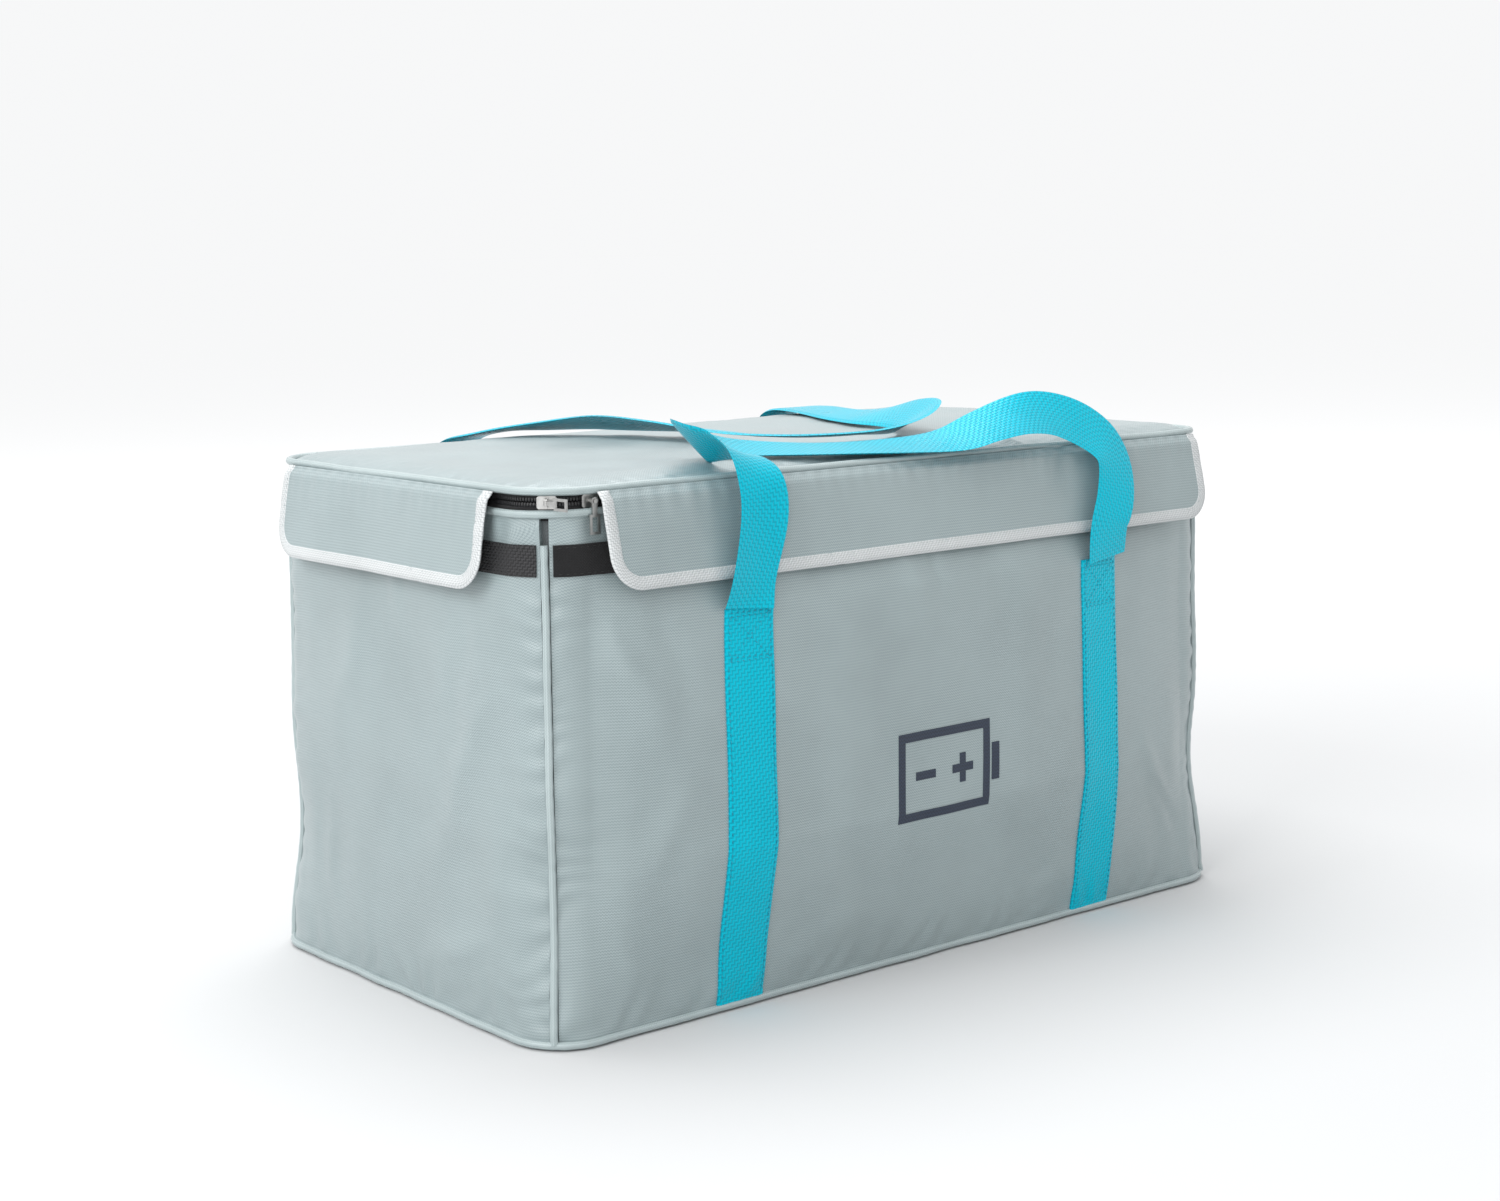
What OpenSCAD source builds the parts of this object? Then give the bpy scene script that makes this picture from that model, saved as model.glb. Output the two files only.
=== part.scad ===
// Soft-sided fire-resistant bag for storing and carrying lithium batteries.
// X runs along the long side, the front wall faces -Y, Z is up.
// The origin is on the floor, under the middle of the base.

/* [Body] */
// Width of the base along X
bag_w = 620; // [500:5:800]
// Depth of the base along Y
bag_d = 338; // [280:2:420]
// Height of the lid seam above the floor
bag_h = 340; // [285:5:420]
// How much each end leans in from the base to the rim
taper_x = 8; // [0:1:20]
// How much the front and the back lean in from the base to the rim
taper_y = 8; // [0:1:20]
// How far the front and back walls bow out in the middle
bow_y = 20; // [0:1:25]
// Radius of the upright corners
corner_r = 36; // [30:1:50]

/* [Walls] */
// Thickness of the coated outer fabric
shell_t = 1.2; // [0.8:0.1:2]
// Thickness of the heat-resistant felt in the walls
pad_t = 6; // [3:0.5:12]
// Thickness of the inner lining
liner_t = 1; // [0.6:0.1:2]
// Diameter of the piping in the seams
piping_d = 5; // [4:0.5:7]

/* [Base] */
// Thickness of the stiff board in the base
board_t = 4; // [2:0.5:8]

/* [Zip] */
// Height of the zip zone, from the rim piping to the lid seam
zip_zone = 13.5; // [13:0.5:20]
// How far the zip tape lies inside the outline
zip_inset = 3.5; // [3:0.5:6]
// Thickness of the zip tape
tape_t = 0.8; // [0.5:0.1:1.2]
// Thickness of the teeth
tooth_t = 2.4; // [1.6:0.2:3]
// Height of each row of teeth
tooth_h = 2.6; // [2:0.2:4]
// Slot left between the two rows of teeth
tooth_gap = 1; // [0.8:0.1:1.4]
// Length of a slider
slider_l = 12; // [10:1:16]
// Height of a slider
slider_h = 7.8; // [6:0.2:8]
// Thickness of each slider plate
slider_plate = 0.9; // [0.6:0.1:1.4]
// Clearance between the teeth and each slider plate
slider_clear = 0.8; // [0.8:0.1:1.2]
// Length of a slider pull
pull_l = 20; // [14:1:28]
// Width of a slider pull
pull_w = 7.4; // [5:0.2:9]
// Thickness of a slider pull
pull_t = 1.1; // [0.8:0.1:1.6]
// Radius of the pin that a pull turns on
pin_r = 0.6; // [0.5:0.1:0.8]
// Radial clearance of a pull on its pin
pin_clear = 0.08; // [0.04:0.01:0.1]
// Where the corner slider is parked, as an angle round the corner
slider_a_angle = 228; // [222:1:236]
// How far the pull of the corner slider stands out
pull_a_angle = 45; // [20:5:60]

/* [Lid] */
// How much the lid rises from its edge to its flat middle
lid_crown = 6; // [2:1:20]
// Width of the sloping border of the lid
lid_slope = 50; // [30:5:90]
// Depth of the padding below the lid seam
lid_pad_drop = 4.5; // [3:0.5:5]

/* [Flaps] */
// Height of a flap
flap_h = 61; // [50:1:75]
// Thickness of a flap
flap_t = 2.4; // [1.6:0.2:4]
// How far a flap's top stands off the outline
flap_stand = 5; // [5:0.2:8]
// How much a flap leans out
flap_lean = 12; // [10:1:20]
// Width of the binding round a flap
binding_w = 8.5; // [5:0.5:14]
// Thickness of the binding
binding_t = 3.4; // [2.6:0.2:5]
// Radius of a flap's lower corners
flap_r = 22; // [16:1:30]
// Gap left between a flap and the corner where the sliders are parked
flap_gap = 40; // [38:1:60]

/* [Fastening band] */
// Height of the hook-and-loop band
band_h = 19; // [15:1:30]
// Thickness of the band
band_t = 1.4; // [1:0.1:2.5]
// Distance from the wall's top edge to the band
band_drop = 16; // [12:1:24]

/* [Handles] */
// Width of the webbing
strap_w = 38; // [25:1:50]
// Thickness of the webbing
strap_t = 1.6; // [1.2:0.1:2.4]
// Distance of each strap from the middle of the bag
strap_x = 165; // [130:1:190]
// Height of the sewn box where a handle leaves the wall
strap_top = 260; // [230:1:265]

/* [Hidden] */

$fn = 48;
piping_r = piping_d / 2;
touch = 0.3;
rim_z = bag_h - zip_zone;
wall_top = rim_z - piping_r;
wall_low = 1 + 2 * piping_r;
wall_t = shell_t + pad_t + liner_t;
top_x = bag_w / 2 - taper_x;
top_y = bag_d / 2 - taper_y;
chain_z = bag_h - zip_zone / 2;
slider_half = tooth_t / 2 + slider_clear + slider_plate;
lid_under = bag_h - lid_pad_drop;
lid_inset = zip_inset + slider_half + 1.2;
band_top = wall_top - band_drop;

// Sides of the bag: the turn that carries +Y onto the side's outward direction.
FRONT = 180;
RIGHT = -90;
BACK = 0;
LEFT = 90;

// Colours
silver = [0.66, 0.71, 0.72];
felt = [0.85, 0.84, 0.78];
lining = [0.55, 0.58, 0.6];
black = [0.07, 0.07, 0.08];
turquoise = [0.06, 0.68, 0.8];
white_grey = [0.86, 0.86, 0.86];
metal = [0.62, 0.62, 0.6];

// ---- Walls: patches of a bowed, tapered box ----

function is_long(side) = side == FRONT || side == BACK;
function rise(z) = min(1, z / wall_top);
function half_along(side, z) =
  is_long(side) ? bag_w / 2 - taper_x * rise(z) : bag_d / 2 - taper_y * rise(z);
function half_out(side, z) =
  is_long(side) ? bag_d / 2 - taper_y * rise(z) : bag_w / 2 - taper_x * rise(z);
// The bow grows up to a third of the wall, stays full to the strap tops, then fades out at the band's top.
function bow_up(z) =
  z < wall_top / 3 ? max(0, z - wall_low) / (wall_top / 3 - wall_low)
  : z < strap_top ? 1
  : max(0, band_top - z) / (band_top - strap_top);
function bow(side, u, z) =
  let (flat = half_along(side, z) - corner_r, share = min(1, abs(u) / flat))
  is_long(side) ? bow_y * (1 - share ^ 4) * bow_up(z) : 0;

// A station along a side is [place on the straight run from -1 to 1, angle from the outward direction].
arc_steps = 5;
strap_in = (strap_x - strap_w / 2) / (bag_w / 2 - corner_r);
strap_out = (strap_x + strap_w / 2) / (bag_w / 2 - corner_r);
// Stations on the straight run of a long side hold the strap edges, so a strap lies flush on its wall.
long_run = [-0.94, -0.86, -strap_out, -strap_in, -0.3, 0, 0.3, strap_in, strap_out, 0.86, 0.94];
short_run = [-0.5, 0, 0.5];
function turn_in(trim) = [for (k = [0 : arc_steps]) [-1, -(45 - trim) * (1 - k / arc_steps)]];
function turn_out(trim) = [for (k = [0 : arc_steps]) [1, (45 - trim) * k / arc_steps]];
function full_run(side, trim) = concat(
  turn_in(trim),
  [for (u = is_long(side) ? long_run : short_run) [u, 0]],
  turn_out(trim)
);
function place(side, st, inset, z) =
  let (
    flat = half_along(side, z) - corner_r,
    reach = corner_r - inset,
    u = flat * st[0] + reach * sin(st[1]),
    v = half_out(side, z) - corner_r + reach * cos(st[1]) + bow(side, flat * st[0], z)
  )
  [u * cos(side) - v * sin(side), u * sin(side) + v * cos(side), z];

third_up = wall_top / 3;
sixth_up = wall_top / 6;
bends = [sixth_up, third_up, strap_top, band_top - band_h, band_top];
function levels(z0, z1) = concat([z0], [for (z = bends) if (z > z0 + 1 && z < z1 - 1) z], [z1]);

// A patch of wall between two insets, over the given stations and levels.
module patch(side, stations, inset0, inset1, z0, z1) {
  zs = levels(z0, z1);
  n = len(stations);
  m = len(zs);
  shell = n * m;
  points = [for (inset = [inset0, inset1], z = zs, st = stations) place(side, st, inset, z)];
  outer = [
    for (j = [0 : m - 2], i = [0 : n - 2]) let (a = j * n + i, b = a + 1, c = a + n, d = c + 1)
      each [[a, c, d], [a, d, b]]
  ];
  inner = [for (f = outer) [f[2] + shell, f[1] + shell, f[0] + shell]];
  ends = [
    for (j = [0 : m - 2], i = [0, n - 1]) let (a = j * n + i, b = a + n, c = a + shell, d = b + shell)
      each i == 0 ? [[a, c, d], [a, d, b]] : [[a, d, c], [a, b, d]]
  ];
  rims = [
    for (i = [0 : n - 2], j = [0, m - 1]) let (a = j * n + i, b = a + 1, c = a + shell, d = c + 1)
      each j == 0 ? [[a, d, c], [a, b, d]] : [[a, c, d], [a, d, b]]
  ];
  polyhedron(points, concat(outer, inner, ends, rims));
}

piping_trim = asin((piping_r + touch) / corner_r);
module wall_shell(side) {
  color(silver) patch(side, full_run(side, piping_trim), 0, shell_t, wall_low, wall_top);
}
module wall_pad(side) {
  color(felt) patch(side, full_run(side, piping_trim), shell_t, shell_t + pad_t, wall_low, wall_top);
}
module wall_liner(side) {
  color(lining) patch(side, full_run(side, piping_trim), shell_t + pad_t, wall_t, wall_low, wall_top);
}

// ---- Rounded outlines ----

module outline(half_x, half_y, inset) {
  r = corner_r - inset;
  square([2 * (half_x - corner_r), 2 * (half_y - inset)], center = true);
  square([2 * (half_x - inset), 2 * (half_y - corner_r)], center = true);
  for (sx = [-1, 1], sy = [-1, 1])
    translate([sx * (half_x - corner_r), sy * (half_y - corner_r)]) circle(r = r);
}
module base_slab(inset, thick) linear_extrude(thick) outline(bag_w / 2, bag_d / 2, inset);
module top_slab(inset, thick) linear_extrude(thick) outline(top_x, top_y, inset);

// A tube of piping round an outline. The back run is left out where the lid hinges.
module piping_ring(half_x, half_y, r, with_back) {
  fx = half_x - corner_r;
  fy = half_y - corner_r;
  for (s = [[1, 1, 0], [-1, 1, 90], [-1, -1, 180], [1, -1, 270]])
    translate([s[0] * fx, s[1] * fy]) rotate(s[2])
      rotate_extrude(angle = 90) translate([corner_r, 0]) circle(r);
  for (s = [-1, 1]) translate([s * half_x, 0]) rotate([90, 0, 0]) cylinder(r = r, h = 2 * fy, center = true);
  translate([0, -half_y]) rotate([0, 90, 0]) cylinder(r = r, h = 2 * fx, center = true);
  if (with_back) translate([0, half_y]) rotate([0, 90, 0]) cylinder(r = r, h = 2 * fx, center = true);
}

// ---- Base ----

base_inset = piping_r + touch;
module base_panel() color(silver) base_slab(base_inset, shell_t);
module base_board() color(black) translate([0, 0, shell_t]) base_slab(base_inset, board_t);
module base_liner() color(lining) translate([0, 0, shell_t + board_t]) base_slab(wall_t + touch, liner_t);
module base_piping() {
  color(silver) translate([0, 0, 1 + piping_r]) piping_ring(bag_w / 2, bag_d / 2, piping_r, true);
}

// ---- Wall pieces ----

module front_panel() wall_shell(FRONT);
module back_panel() wall_shell(BACK);
module left_panel() wall_shell(LEFT);
module right_panel() wall_shell(RIGHT);
module front_pad() wall_pad(FRONT);
module back_pad() wall_pad(BACK);
module left_pad() wall_pad(LEFT);
module right_pad() wall_pad(RIGHT);
module front_liner() wall_liner(FRONT);
module back_liner() wall_liner(BACK);
module left_liner() wall_liner(LEFT);
module right_liner() wall_liner(RIGHT);

// Piping up one corner, in the gap between two wall panels, from the base to the band's top.
module corner_piping(sx, sy) {
  out = corner_r * sqrt(0.5) + (piping_r - shell_t) * sqrt(0.5);
  low = [sx * (bag_w / 2 - corner_r + out), sy * (bag_d / 2 - corner_r + out), wall_low + 1];
  lean = rise(band_top);
  high = [
    sx * (bag_w / 2 - taper_x * lean - corner_r + out),
    sy * (bag_d / 2 - taper_y * lean - corner_r + out),
    band_top
  ];
  run = high - low;
  color(silver) translate(low)
    rotate([0, acos(run[2] / norm(run)), atan2(run[1], run[0])])
      cylinder(r = piping_r - 0.1, h = norm(run));
}
module front_left_piping() corner_piping(-1, -1);
module front_right_piping() corner_piping(1, -1);
module back_left_piping() corner_piping(-1, 1);
module back_right_piping() corner_piping(1, 1);

module band(side) {
  color(black) patch(side, full_run(side, piping_trim + 3.6), -band_t, 0, band_top - band_h, band_top);
}
module front_band() band(FRONT);
module left_band() band(LEFT);
module right_band() band(RIGHT);

module strap(side, s) {
  stations = s > 0 ? [[strap_in, 0], [strap_out, 0]] : [[-strap_out, 0], [-strap_in, 0]];
  color(turquoise) patch(side, stations, -strap_t, 0, wall_low, strap_top);
}
module front_left_strap() strap(FRONT, 1);
module front_right_strap() strap(FRONT, -1);
module back_left_strap() strap(BACK, -1);
module back_right_strap() strap(BACK, 1);

// ---- Rim and zip ----

// Cuts away the straight back run, where the hinge is.
module open_back() {
  difference() {
    children();
    translate([-(top_x - corner_r), top_y - corner_r]) square([2 * (top_x - corner_r), 2 * corner_r]);
  }
}
module zip_wall(thick) {
  open_back() difference() {
    outline(top_x, top_y, zip_inset - thick / 2);
    outline(top_x, top_y, zip_inset + thick / 2);
  }
}
module rim_piping() color(silver) translate([0, 0, rim_z]) piping_ring(top_x, top_y, piping_r, false);
module lower_zip_tape() {
  low = chain_z - tooth_gap / 2 - tooth_h;
  color(black) translate([0, 0, wall_top]) linear_extrude(low - wall_top) zip_wall(tape_t);
}
module lower_zip_teeth() {
  color(black) translate([0, 0, chain_z - tooth_gap / 2 - tooth_h]) linear_extrude(tooth_h) zip_wall(tooth_t);
}
module upper_zip_teeth() {
  color(black) translate([0, 0, chain_z + tooth_gap / 2]) linear_extrude(tooth_h) zip_wall(tooth_t);
}
module upper_zip_tape() {
  low = chain_z + tooth_gap / 2 + tooth_h;
  color(black) translate([0, 0, low]) linear_extrude(bag_h - touch - low) zip_wall(tape_t);
}
stop_w = 3;
module zip_end_stops() {
  reach = top_x - corner_r - stop_w / 2 - touch;
  for (s = [-1, 1]) color(metal)
    translate([s * reach - stop_w / 2, top_y - zip_inset - tooth_t / 2, wall_top])
      cube([stop_w, tooth_t, chain_z + tooth_gap - wall_top]);
}

// The back wall carries on up to the seam that the lid turns on.
hinge_half = top_x - corner_r - 0.5;
hinge_y = top_y;
module hinge_strip() {
  color(silver) translate([-hinge_half, top_y - shell_t, wall_top])
    cube([2 * hinge_half, shell_t, bag_h - piping_r * 0.9 - wall_top]);
}
module hinge_seam() {
  color(silver) difference() {
    translate([-hinge_half, hinge_y, bag_h]) rotate([0, 90, 0]) cylinder(r = piping_r, h = 2 * hinge_half);
    hinge_strip();
  }
}

// ---- Lid ----

module lid_dome(drop) {
  hull() {
    translate([0, 0, bag_h - 0.3 - drop]) top_slab(piping_r + touch, shell_t);
    translate([0, 0, bag_h + lid_crown - drop]) top_slab(lid_slope, shell_t);
  }
}
module lid_panel() {
  color(silver) difference() {
    lid_dome(0);
    lid_dome(shell_t);
  }
}
module lid_pad() {
  color(felt) hull() {
    translate([0, 0, lid_under]) top_slab(lid_inset, bag_h - 0.3 - lid_under);
    translate([0, 0, lid_under]) top_slab(lid_slope, bag_h + lid_crown - touch / 3 - lid_under);
  }
}
module lid_liner() color(lining) translate([0, 0, lid_under - liner_t]) top_slab(lid_inset, liner_t);
module lid_piping() color(silver) translate([0, 0, bag_h]) piping_ring(top_x, top_y, piping_r, false);

// ---- Flaps ----

// A flap outline hangs down from the origin; its lower corners are round.
module flap_outline(len, inset) {
  r = flap_r - inset;
  half = len / 2 - inset;
  translate([-half, -flap_h + flap_r]) square([2 * half, flap_h - flap_r]);
  translate([-len / 2 + flap_r, -flap_h + inset]) square([len - 2 * flap_r, flap_h - inset]);
  for (s = [-1, 1]) translate([s * (len / 2 - flap_r), -flap_h + flap_r]) circle(r = r);
}
// Height of the line that a flap swings on.
hang_z = bag_h - 1.4;
// Carries a flap from the XY plane to the lid's edge on one side.
module hang(side, shift) {
  out = half_out(side, wall_top) + flap_stand + flap_t / 2;
  rotate(side) translate([shift, out, hang_z]) rotate([90 + flap_lean, 0, 0]) children();
}
module flap_panel(side, len, shift) {
  color(silver) hang(side, shift) translate([0, 0, -flap_t / 2])
    linear_extrude(flap_t) flap_outline(len, binding_w);
}
module flap_binding(side, len, shift) {
  color(white_grey) hang(side, shift) translate([0, 0, -binding_t / 2])
    linear_extrude(binding_t) difference() {
    translate([0, -1]) intersection() {
      translate([0, 1]) flap_outline(len, 0);
      translate([-len, -2 * flap_h]) square(2 * [len, flap_h]);
    }
    flap_outline(len, binding_w);
  }
}
fastener_h = 18;
module flap_fastener(side, len, shift) {
  side_gap = flap_r + 4;
  middle = hang_z - (band_top - band_h / 2);
  color(black) hang(side, shift) translate([-len / 2 + side_gap, -middle - fastener_h / 2, flap_t / 2])
    cube([len - 2 * side_gap, fastener_h, band_t]);
}
// The front flap leaves the parked sliders clear at its left end and reaches into the right corner.
front_flap_left = top_x - flap_gap;
front_flap_right = top_x - corner_r + 12;
front_flap_len = front_flap_left + front_flap_right;
front_shift = (front_flap_left - front_flap_right) / 2;
side_flap_near = top_y - flap_gap - 4;
side_flap_far = top_y - corner_r + 2;
side_flap_len = side_flap_near + side_flap_far;
side_shift = (side_flap_far - side_flap_near) / 2;
module front_flap() flap_panel(FRONT, front_flap_len, front_shift);
module front_flap_binding() flap_binding(FRONT, front_flap_len, front_shift);
module front_flap_fastener() flap_fastener(FRONT, front_flap_len, front_shift);
module left_flap() flap_panel(LEFT, side_flap_len, side_shift);
module left_flap_binding() flap_binding(LEFT, side_flap_len, side_shift);
module left_flap_fastener() flap_fastener(LEFT, side_flap_len, side_shift);
module right_flap() flap_panel(RIGHT, side_flap_len, -side_shift);
module right_flap_binding() flap_binding(RIGHT, side_flap_len, -side_shift);
module right_flap_fastener() flap_fastener(RIGHT, side_flap_len, -side_shift);

// ---- Handles: webbing swept along hand-chosen points ----

// A tie is [place, direction of the width]. Places are measured from the strap's top on a wall.
wall_y = -place(FRONT, [strap_in, 0], 0, strap_top)[1];
// A handle starts just outside the strap that it is sewn to.
root_y = wall_y + 1.5 * strap_t + 0.8;
lid_z = bag_h + lid_crown;
front_ties = [
  [[-strap_x, -root_y, strap_top], [-1, 0.06, 0]],
  [[-strap_x + 2, -root_y - 3, strap_top + 20], [-1, -0.1, 0]],
  [[-strap_x + 9, -root_y - 5, strap_top + 56], [-1, 0, 0]],
  [[-strap_x + 9, -root_y - 2, lid_z - 7], [-1, -0.05, 0]],
  [[-strap_x + 6, -root_y + 9, lid_z + 7], [-0.94, -0.2, 0.2]],
  [[-strap_x, -root_y + 24, lid_z + 12], [-0.8, -0.1, 0.5]],
  [[-strap_x - 5, -root_y + 39, lid_z + 14], [-0.72, 0.08, 0.66]],
  [[-strap_x - 1, -root_y + 55, lid_z + 14], [-0.5, 0.4, 0.72]],
  [[-strap_x + 15, -root_y + 65, lid_z + 11.5], [-0.15, 0.8, 0.57]],
  [[-112, -root_y + 64, lid_z + 5.5], [0, 0.97, 0.23]],
  [[-60, -root_y + 46, lid_z + 2.5], [0.1, 0.97, 0.12]],
  [[-5, -root_y + 33, lid_z + 1.5], [0, 0.98, 0.16]],
  [[34, -root_y + 24, lid_z + 3.5], [0, 0.95, 0.26]],
  [[62, -root_y + 20, lid_z + 11], [0.08, 0.88, 0.42]],
  [[90, -root_y + 18, lid_z + 16.5], [0.25, 0.75, 0.58]],
  [[118, -root_y + 17, lid_z + 17], [0.3, 0.6, 0.75]],
  [[143, -root_y + 13, lid_z + 10], [0.4, 0.45, 0.8]],
  [[162, -root_y + 8, lid_z - 1], [0.66, 0.35, 0.64]],
  [[170, -root_y + 3, lid_z - 13], [0.88, 0.25, 0.35]],
  [[171, -root_y - 1, lid_z - 28], [1, 0.1, 0.1]],
  [[167, -root_y - 4, lid_z - 46], [1, 0, 0]],
  [[161, -root_y - 4, lid_z - 63], [1, 0, 0]],
  [[strap_x, -root_y, strap_top], [1, 0.06, 0]]
];
back_ties = [
  [[-strap_x, root_y, strap_top], [-1, -0.06, 0]],
  [[-strap_x + 3, wall_y + 4, strap_top + 28], [-1, 0, 0]],
  [[-strap_x + 12, wall_y + 2, strap_top + 58], [-1, -0.05, 0]],
  [[-strap_x + 22, wall_y - 8, lid_z - 6], [-1, -0.15, 0]],
  [[-strap_x + 36, wall_y - 30, lid_z + 2.5], [-0.9, -0.4, 0.05]],
  [[-strap_x + 56, wall_y - 62, lid_z + 7], [-0.75, -0.6, 0.2]],
  [[-strap_x + 82, wall_y - 97, lid_z + 10.5], [-0.65, -0.7, 0.32]],
  [[-strap_x + 103, wall_y - 145, lid_z + 9], [-0.85, -0.4, 0.25]],
  [[-strap_x + 117, wall_y - 190, lid_z + 6.5], [-0.9, -0.35, 0.12]],
  [[-46, wall_y - 226, lid_z + 6], [-0.8, -0.6, 0.1]],
  [[-28, wall_y - 262, lid_z + 6], [-0.5, -0.85, 0.1]],
  [[10, wall_y - 282, lid_z + 7], [-0.05, -1, 0.15]],
  [[50, wall_y - 280, lid_z + 10], [0.15, -0.9, 0.34]],
  [[80, wall_y - 262, lid_z + 14], [0.5, -0.65, 0.52]],
  [[96, wall_y - 230, lid_z + 13.5], [0.8, -0.25, 0.5]],
  [[106, wall_y - 186, lid_z + 9], [0.95, -0.05, 0.25]],
  [[125, wall_y - 130, lid_z + 6], [1, -0.1, 0.1]],
  [[147, wall_y - 70, lid_z + 5.5], [1, -0.2, 0.05]],
  [[158, wall_y - 30, lid_z + 3], [1, -0.1, 0]],
  [[163, wall_y - 8, lid_z - 6], [1, 0, 0]],
  [[166, wall_y + 2, strap_top + 58], [1, 0, 0]],
  [[166, wall_y + 4, strap_top + 28], [1, 0, 0]],
  [[strap_x, root_y, strap_top], [1, -0.06, 0]]
];
steps_per_tie = 3;
function blend4(a, b, c, d, t) =
  0.5 * (2 * b + (c - a) * t + (2 * a - 5 * b + 4 * c - d) * t ^ 2 + (3 * b - a - 3 * c + d) * t ^ 3);
function along(ties, k, i) =
  let (
    last = len(ties) - 1,
    j = min(floor(i / steps_per_tie), last - 1),
    t = i / steps_per_tie - j
  )
  blend4(ties[max(j - 1, 0)][k], ties[j][k], ties[j + 1][k], ties[min(j + 2, last)][k], t);
function unit(v) = v / norm(v);
// Both faces are split along the same diagonal, so a twisted stretch keeps its thickness.
module webbing(ties) {
  n = (len(ties) - 1) * steps_per_tie;
  centre = [for (i = [0 : n]) along(ties, 0, i)];
  points = [
    for (i = [0 : n]) let (
      ahead = unit(centre[min(i + 1, n)] - centre[max(i - 1, 0)]),
      wide = along(ties, 1, i),
      across = unit(wide - (wide * ahead) * ahead) * strap_w / 2,
      thick = unit(cross(ahead, across)) * strap_t / 2
    ) each [for (c = [[1, 1], [-1, 1], [-1, -1], [1, -1]]) centre[i] + c[0] * across + c[1] * thick]
  ];
  sides = [
    for (i = [0 : n - 1], k = [0 : 3]) let (a = 4 * i + k, b = 4 * i + (k + 1) % 4)
      each k == 2 ? [[a, a + 4, b], [b, a + 4, b + 4]] : [[a, b + 4, b], [a, a + 4, b + 4]]
  ];
  caps = [[0, 1, 2], [0, 2, 3], [4 * n, 4 * n + 2, 4 * n + 1], [4 * n, 4 * n + 3, 4 * n + 2]];
  color(turquoise) polyhedron(points, concat(sides, caps));
}
module front_handle() webbing(front_ties);
module back_handle() webbing(back_ties);

// ---- Zip sliders: X runs along the zip, -Y outward, the chain's middle is at the origin ----

// The pin stands far enough out for a hanging pull to clear the rim piping.
lug_out = piping_r + zip_inset - slider_half + pull_t / 2 + 0.5;
lug_h = 3.2;
pull_clear = 0.25;
module slider_plates() {
  for (s = [-1, 1]) translate([0, s * (slider_half - slider_plate / 2), 0]) rotate([90, 0, 0])
    linear_extrude(slider_plate, center = true) intersection() {
      square([slider_l, slider_h], center = true);
      rotate(45) square(0.9 * (slider_l + slider_h) * sqrt(0.5), center = true);
    }
  cube([3, 2 * slider_half - slider_plate, tooth_gap - 0.3], center = true);
}
// Two lugs carry an upright pin that a pull swings out on.
module pin_slider_body() {
  slider_plates();
  translate([0, -slider_half - lug_out, 0]) {
    cylinder(r = pin_r, h = lug_h + 2, center = true);
    for (s = [-1, 1]) translate([-1, -pin_r, s * (lug_h / 2 + 0.5) - 0.5])
      cube([2, lug_out + pin_r + 0.2, 1]);
  }
}
// A round stud along Y that a flat pull swings on like a pendulum.
module stud_slider_body() {
  slider_plates();
  rotate([90, 0, 0]) {
    translate([0, 0, slider_half - slider_plate / 2])
      cylinder(r = pin_r, h = slider_plate / 2 + lug_out + pull_t / 2 + pull_clear + 0.6);
    translate([0, 0, slider_half - 0.1])
      cylinder(r = pin_r + 0.7, h = lug_out - pull_t / 2 - pull_clear + 0.1);
    translate([0, 0, slider_half + lug_out + pull_t / 2 + pull_clear]) cylinder(r = pin_r + 0.7, h = 0.7);
  }
}
// A flat pull reaches along +X from the stud, which lies along Y.
module flat_pull() {
  rotate([90, 0, 0]) linear_extrude(pull_t, center = true) difference() {
    union() {
      circle(pull_w * 0.32);
      translate([0, -pull_w * 0.24]) square([pull_l * 0.45, pull_w * 0.48]);
      translate([pull_l * 0.4, -pull_w / 2]) square([pull_l * 0.6, pull_w]);
    }
    circle(pin_r + pin_clear);
    translate([pull_l * 0.4 + 1.6, -pull_w / 2 + 1.6]) square([pull_l * 0.6 - 3.2, pull_w - 3.2]);
  }
}
// A pull reaches along +X from its pin, which lies along Z.
module pull() {
  eye_r = pin_r + 0.75;
  eye_h = lug_h - 2 * pull_clear;
  difference() {
    union() {
      cylinder(r = eye_r, h = eye_h, center = true);
      translate([0, -pull_t / 2, -eye_h / 2]) cube([pull_l * 0.45, pull_t, eye_h]);
      translate([pull_l * 0.4, pull_t / 2, 0]) rotate([90, 0, 0]) linear_extrude(pull_t) difference() {
        translate([0, -pull_w / 2]) square([pull_l * 0.6, pull_w]);
        translate([1.6, -pull_w / 2 + 1.6]) square([pull_l * 0.6 - 3.2, pull_w - 3.2]);
      }
    }
    cylinder(r = pin_r + pin_clear, h = lug_h, center = true);
  }
}
module at_corner() {
  translate([-(top_x - corner_r), -(top_y - corner_r), chain_z]) rotate(slider_a_angle - 270)
    translate([0, -(corner_r - zip_inset), 0]) children();
}
front_slider_x = -(top_x - corner_r) + 1.5;
module at_front() translate([front_slider_x, -(top_y - zip_inset), chain_z]) children();

module corner_slider() color(metal) at_corner() pin_slider_body();
module corner_slider_pull() {
  color(metal) at_corner() translate([0, -slider_half - lug_out, 0]) rotate(-pull_a_angle) pull();
}
module front_slider() color(metal) at_front() stud_slider_body();
module front_slider_pull() {
  color(metal) at_front() translate([0, -slider_half - lug_out, 0]) rotate([0, 90, 0]) flat_pull();
}

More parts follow.
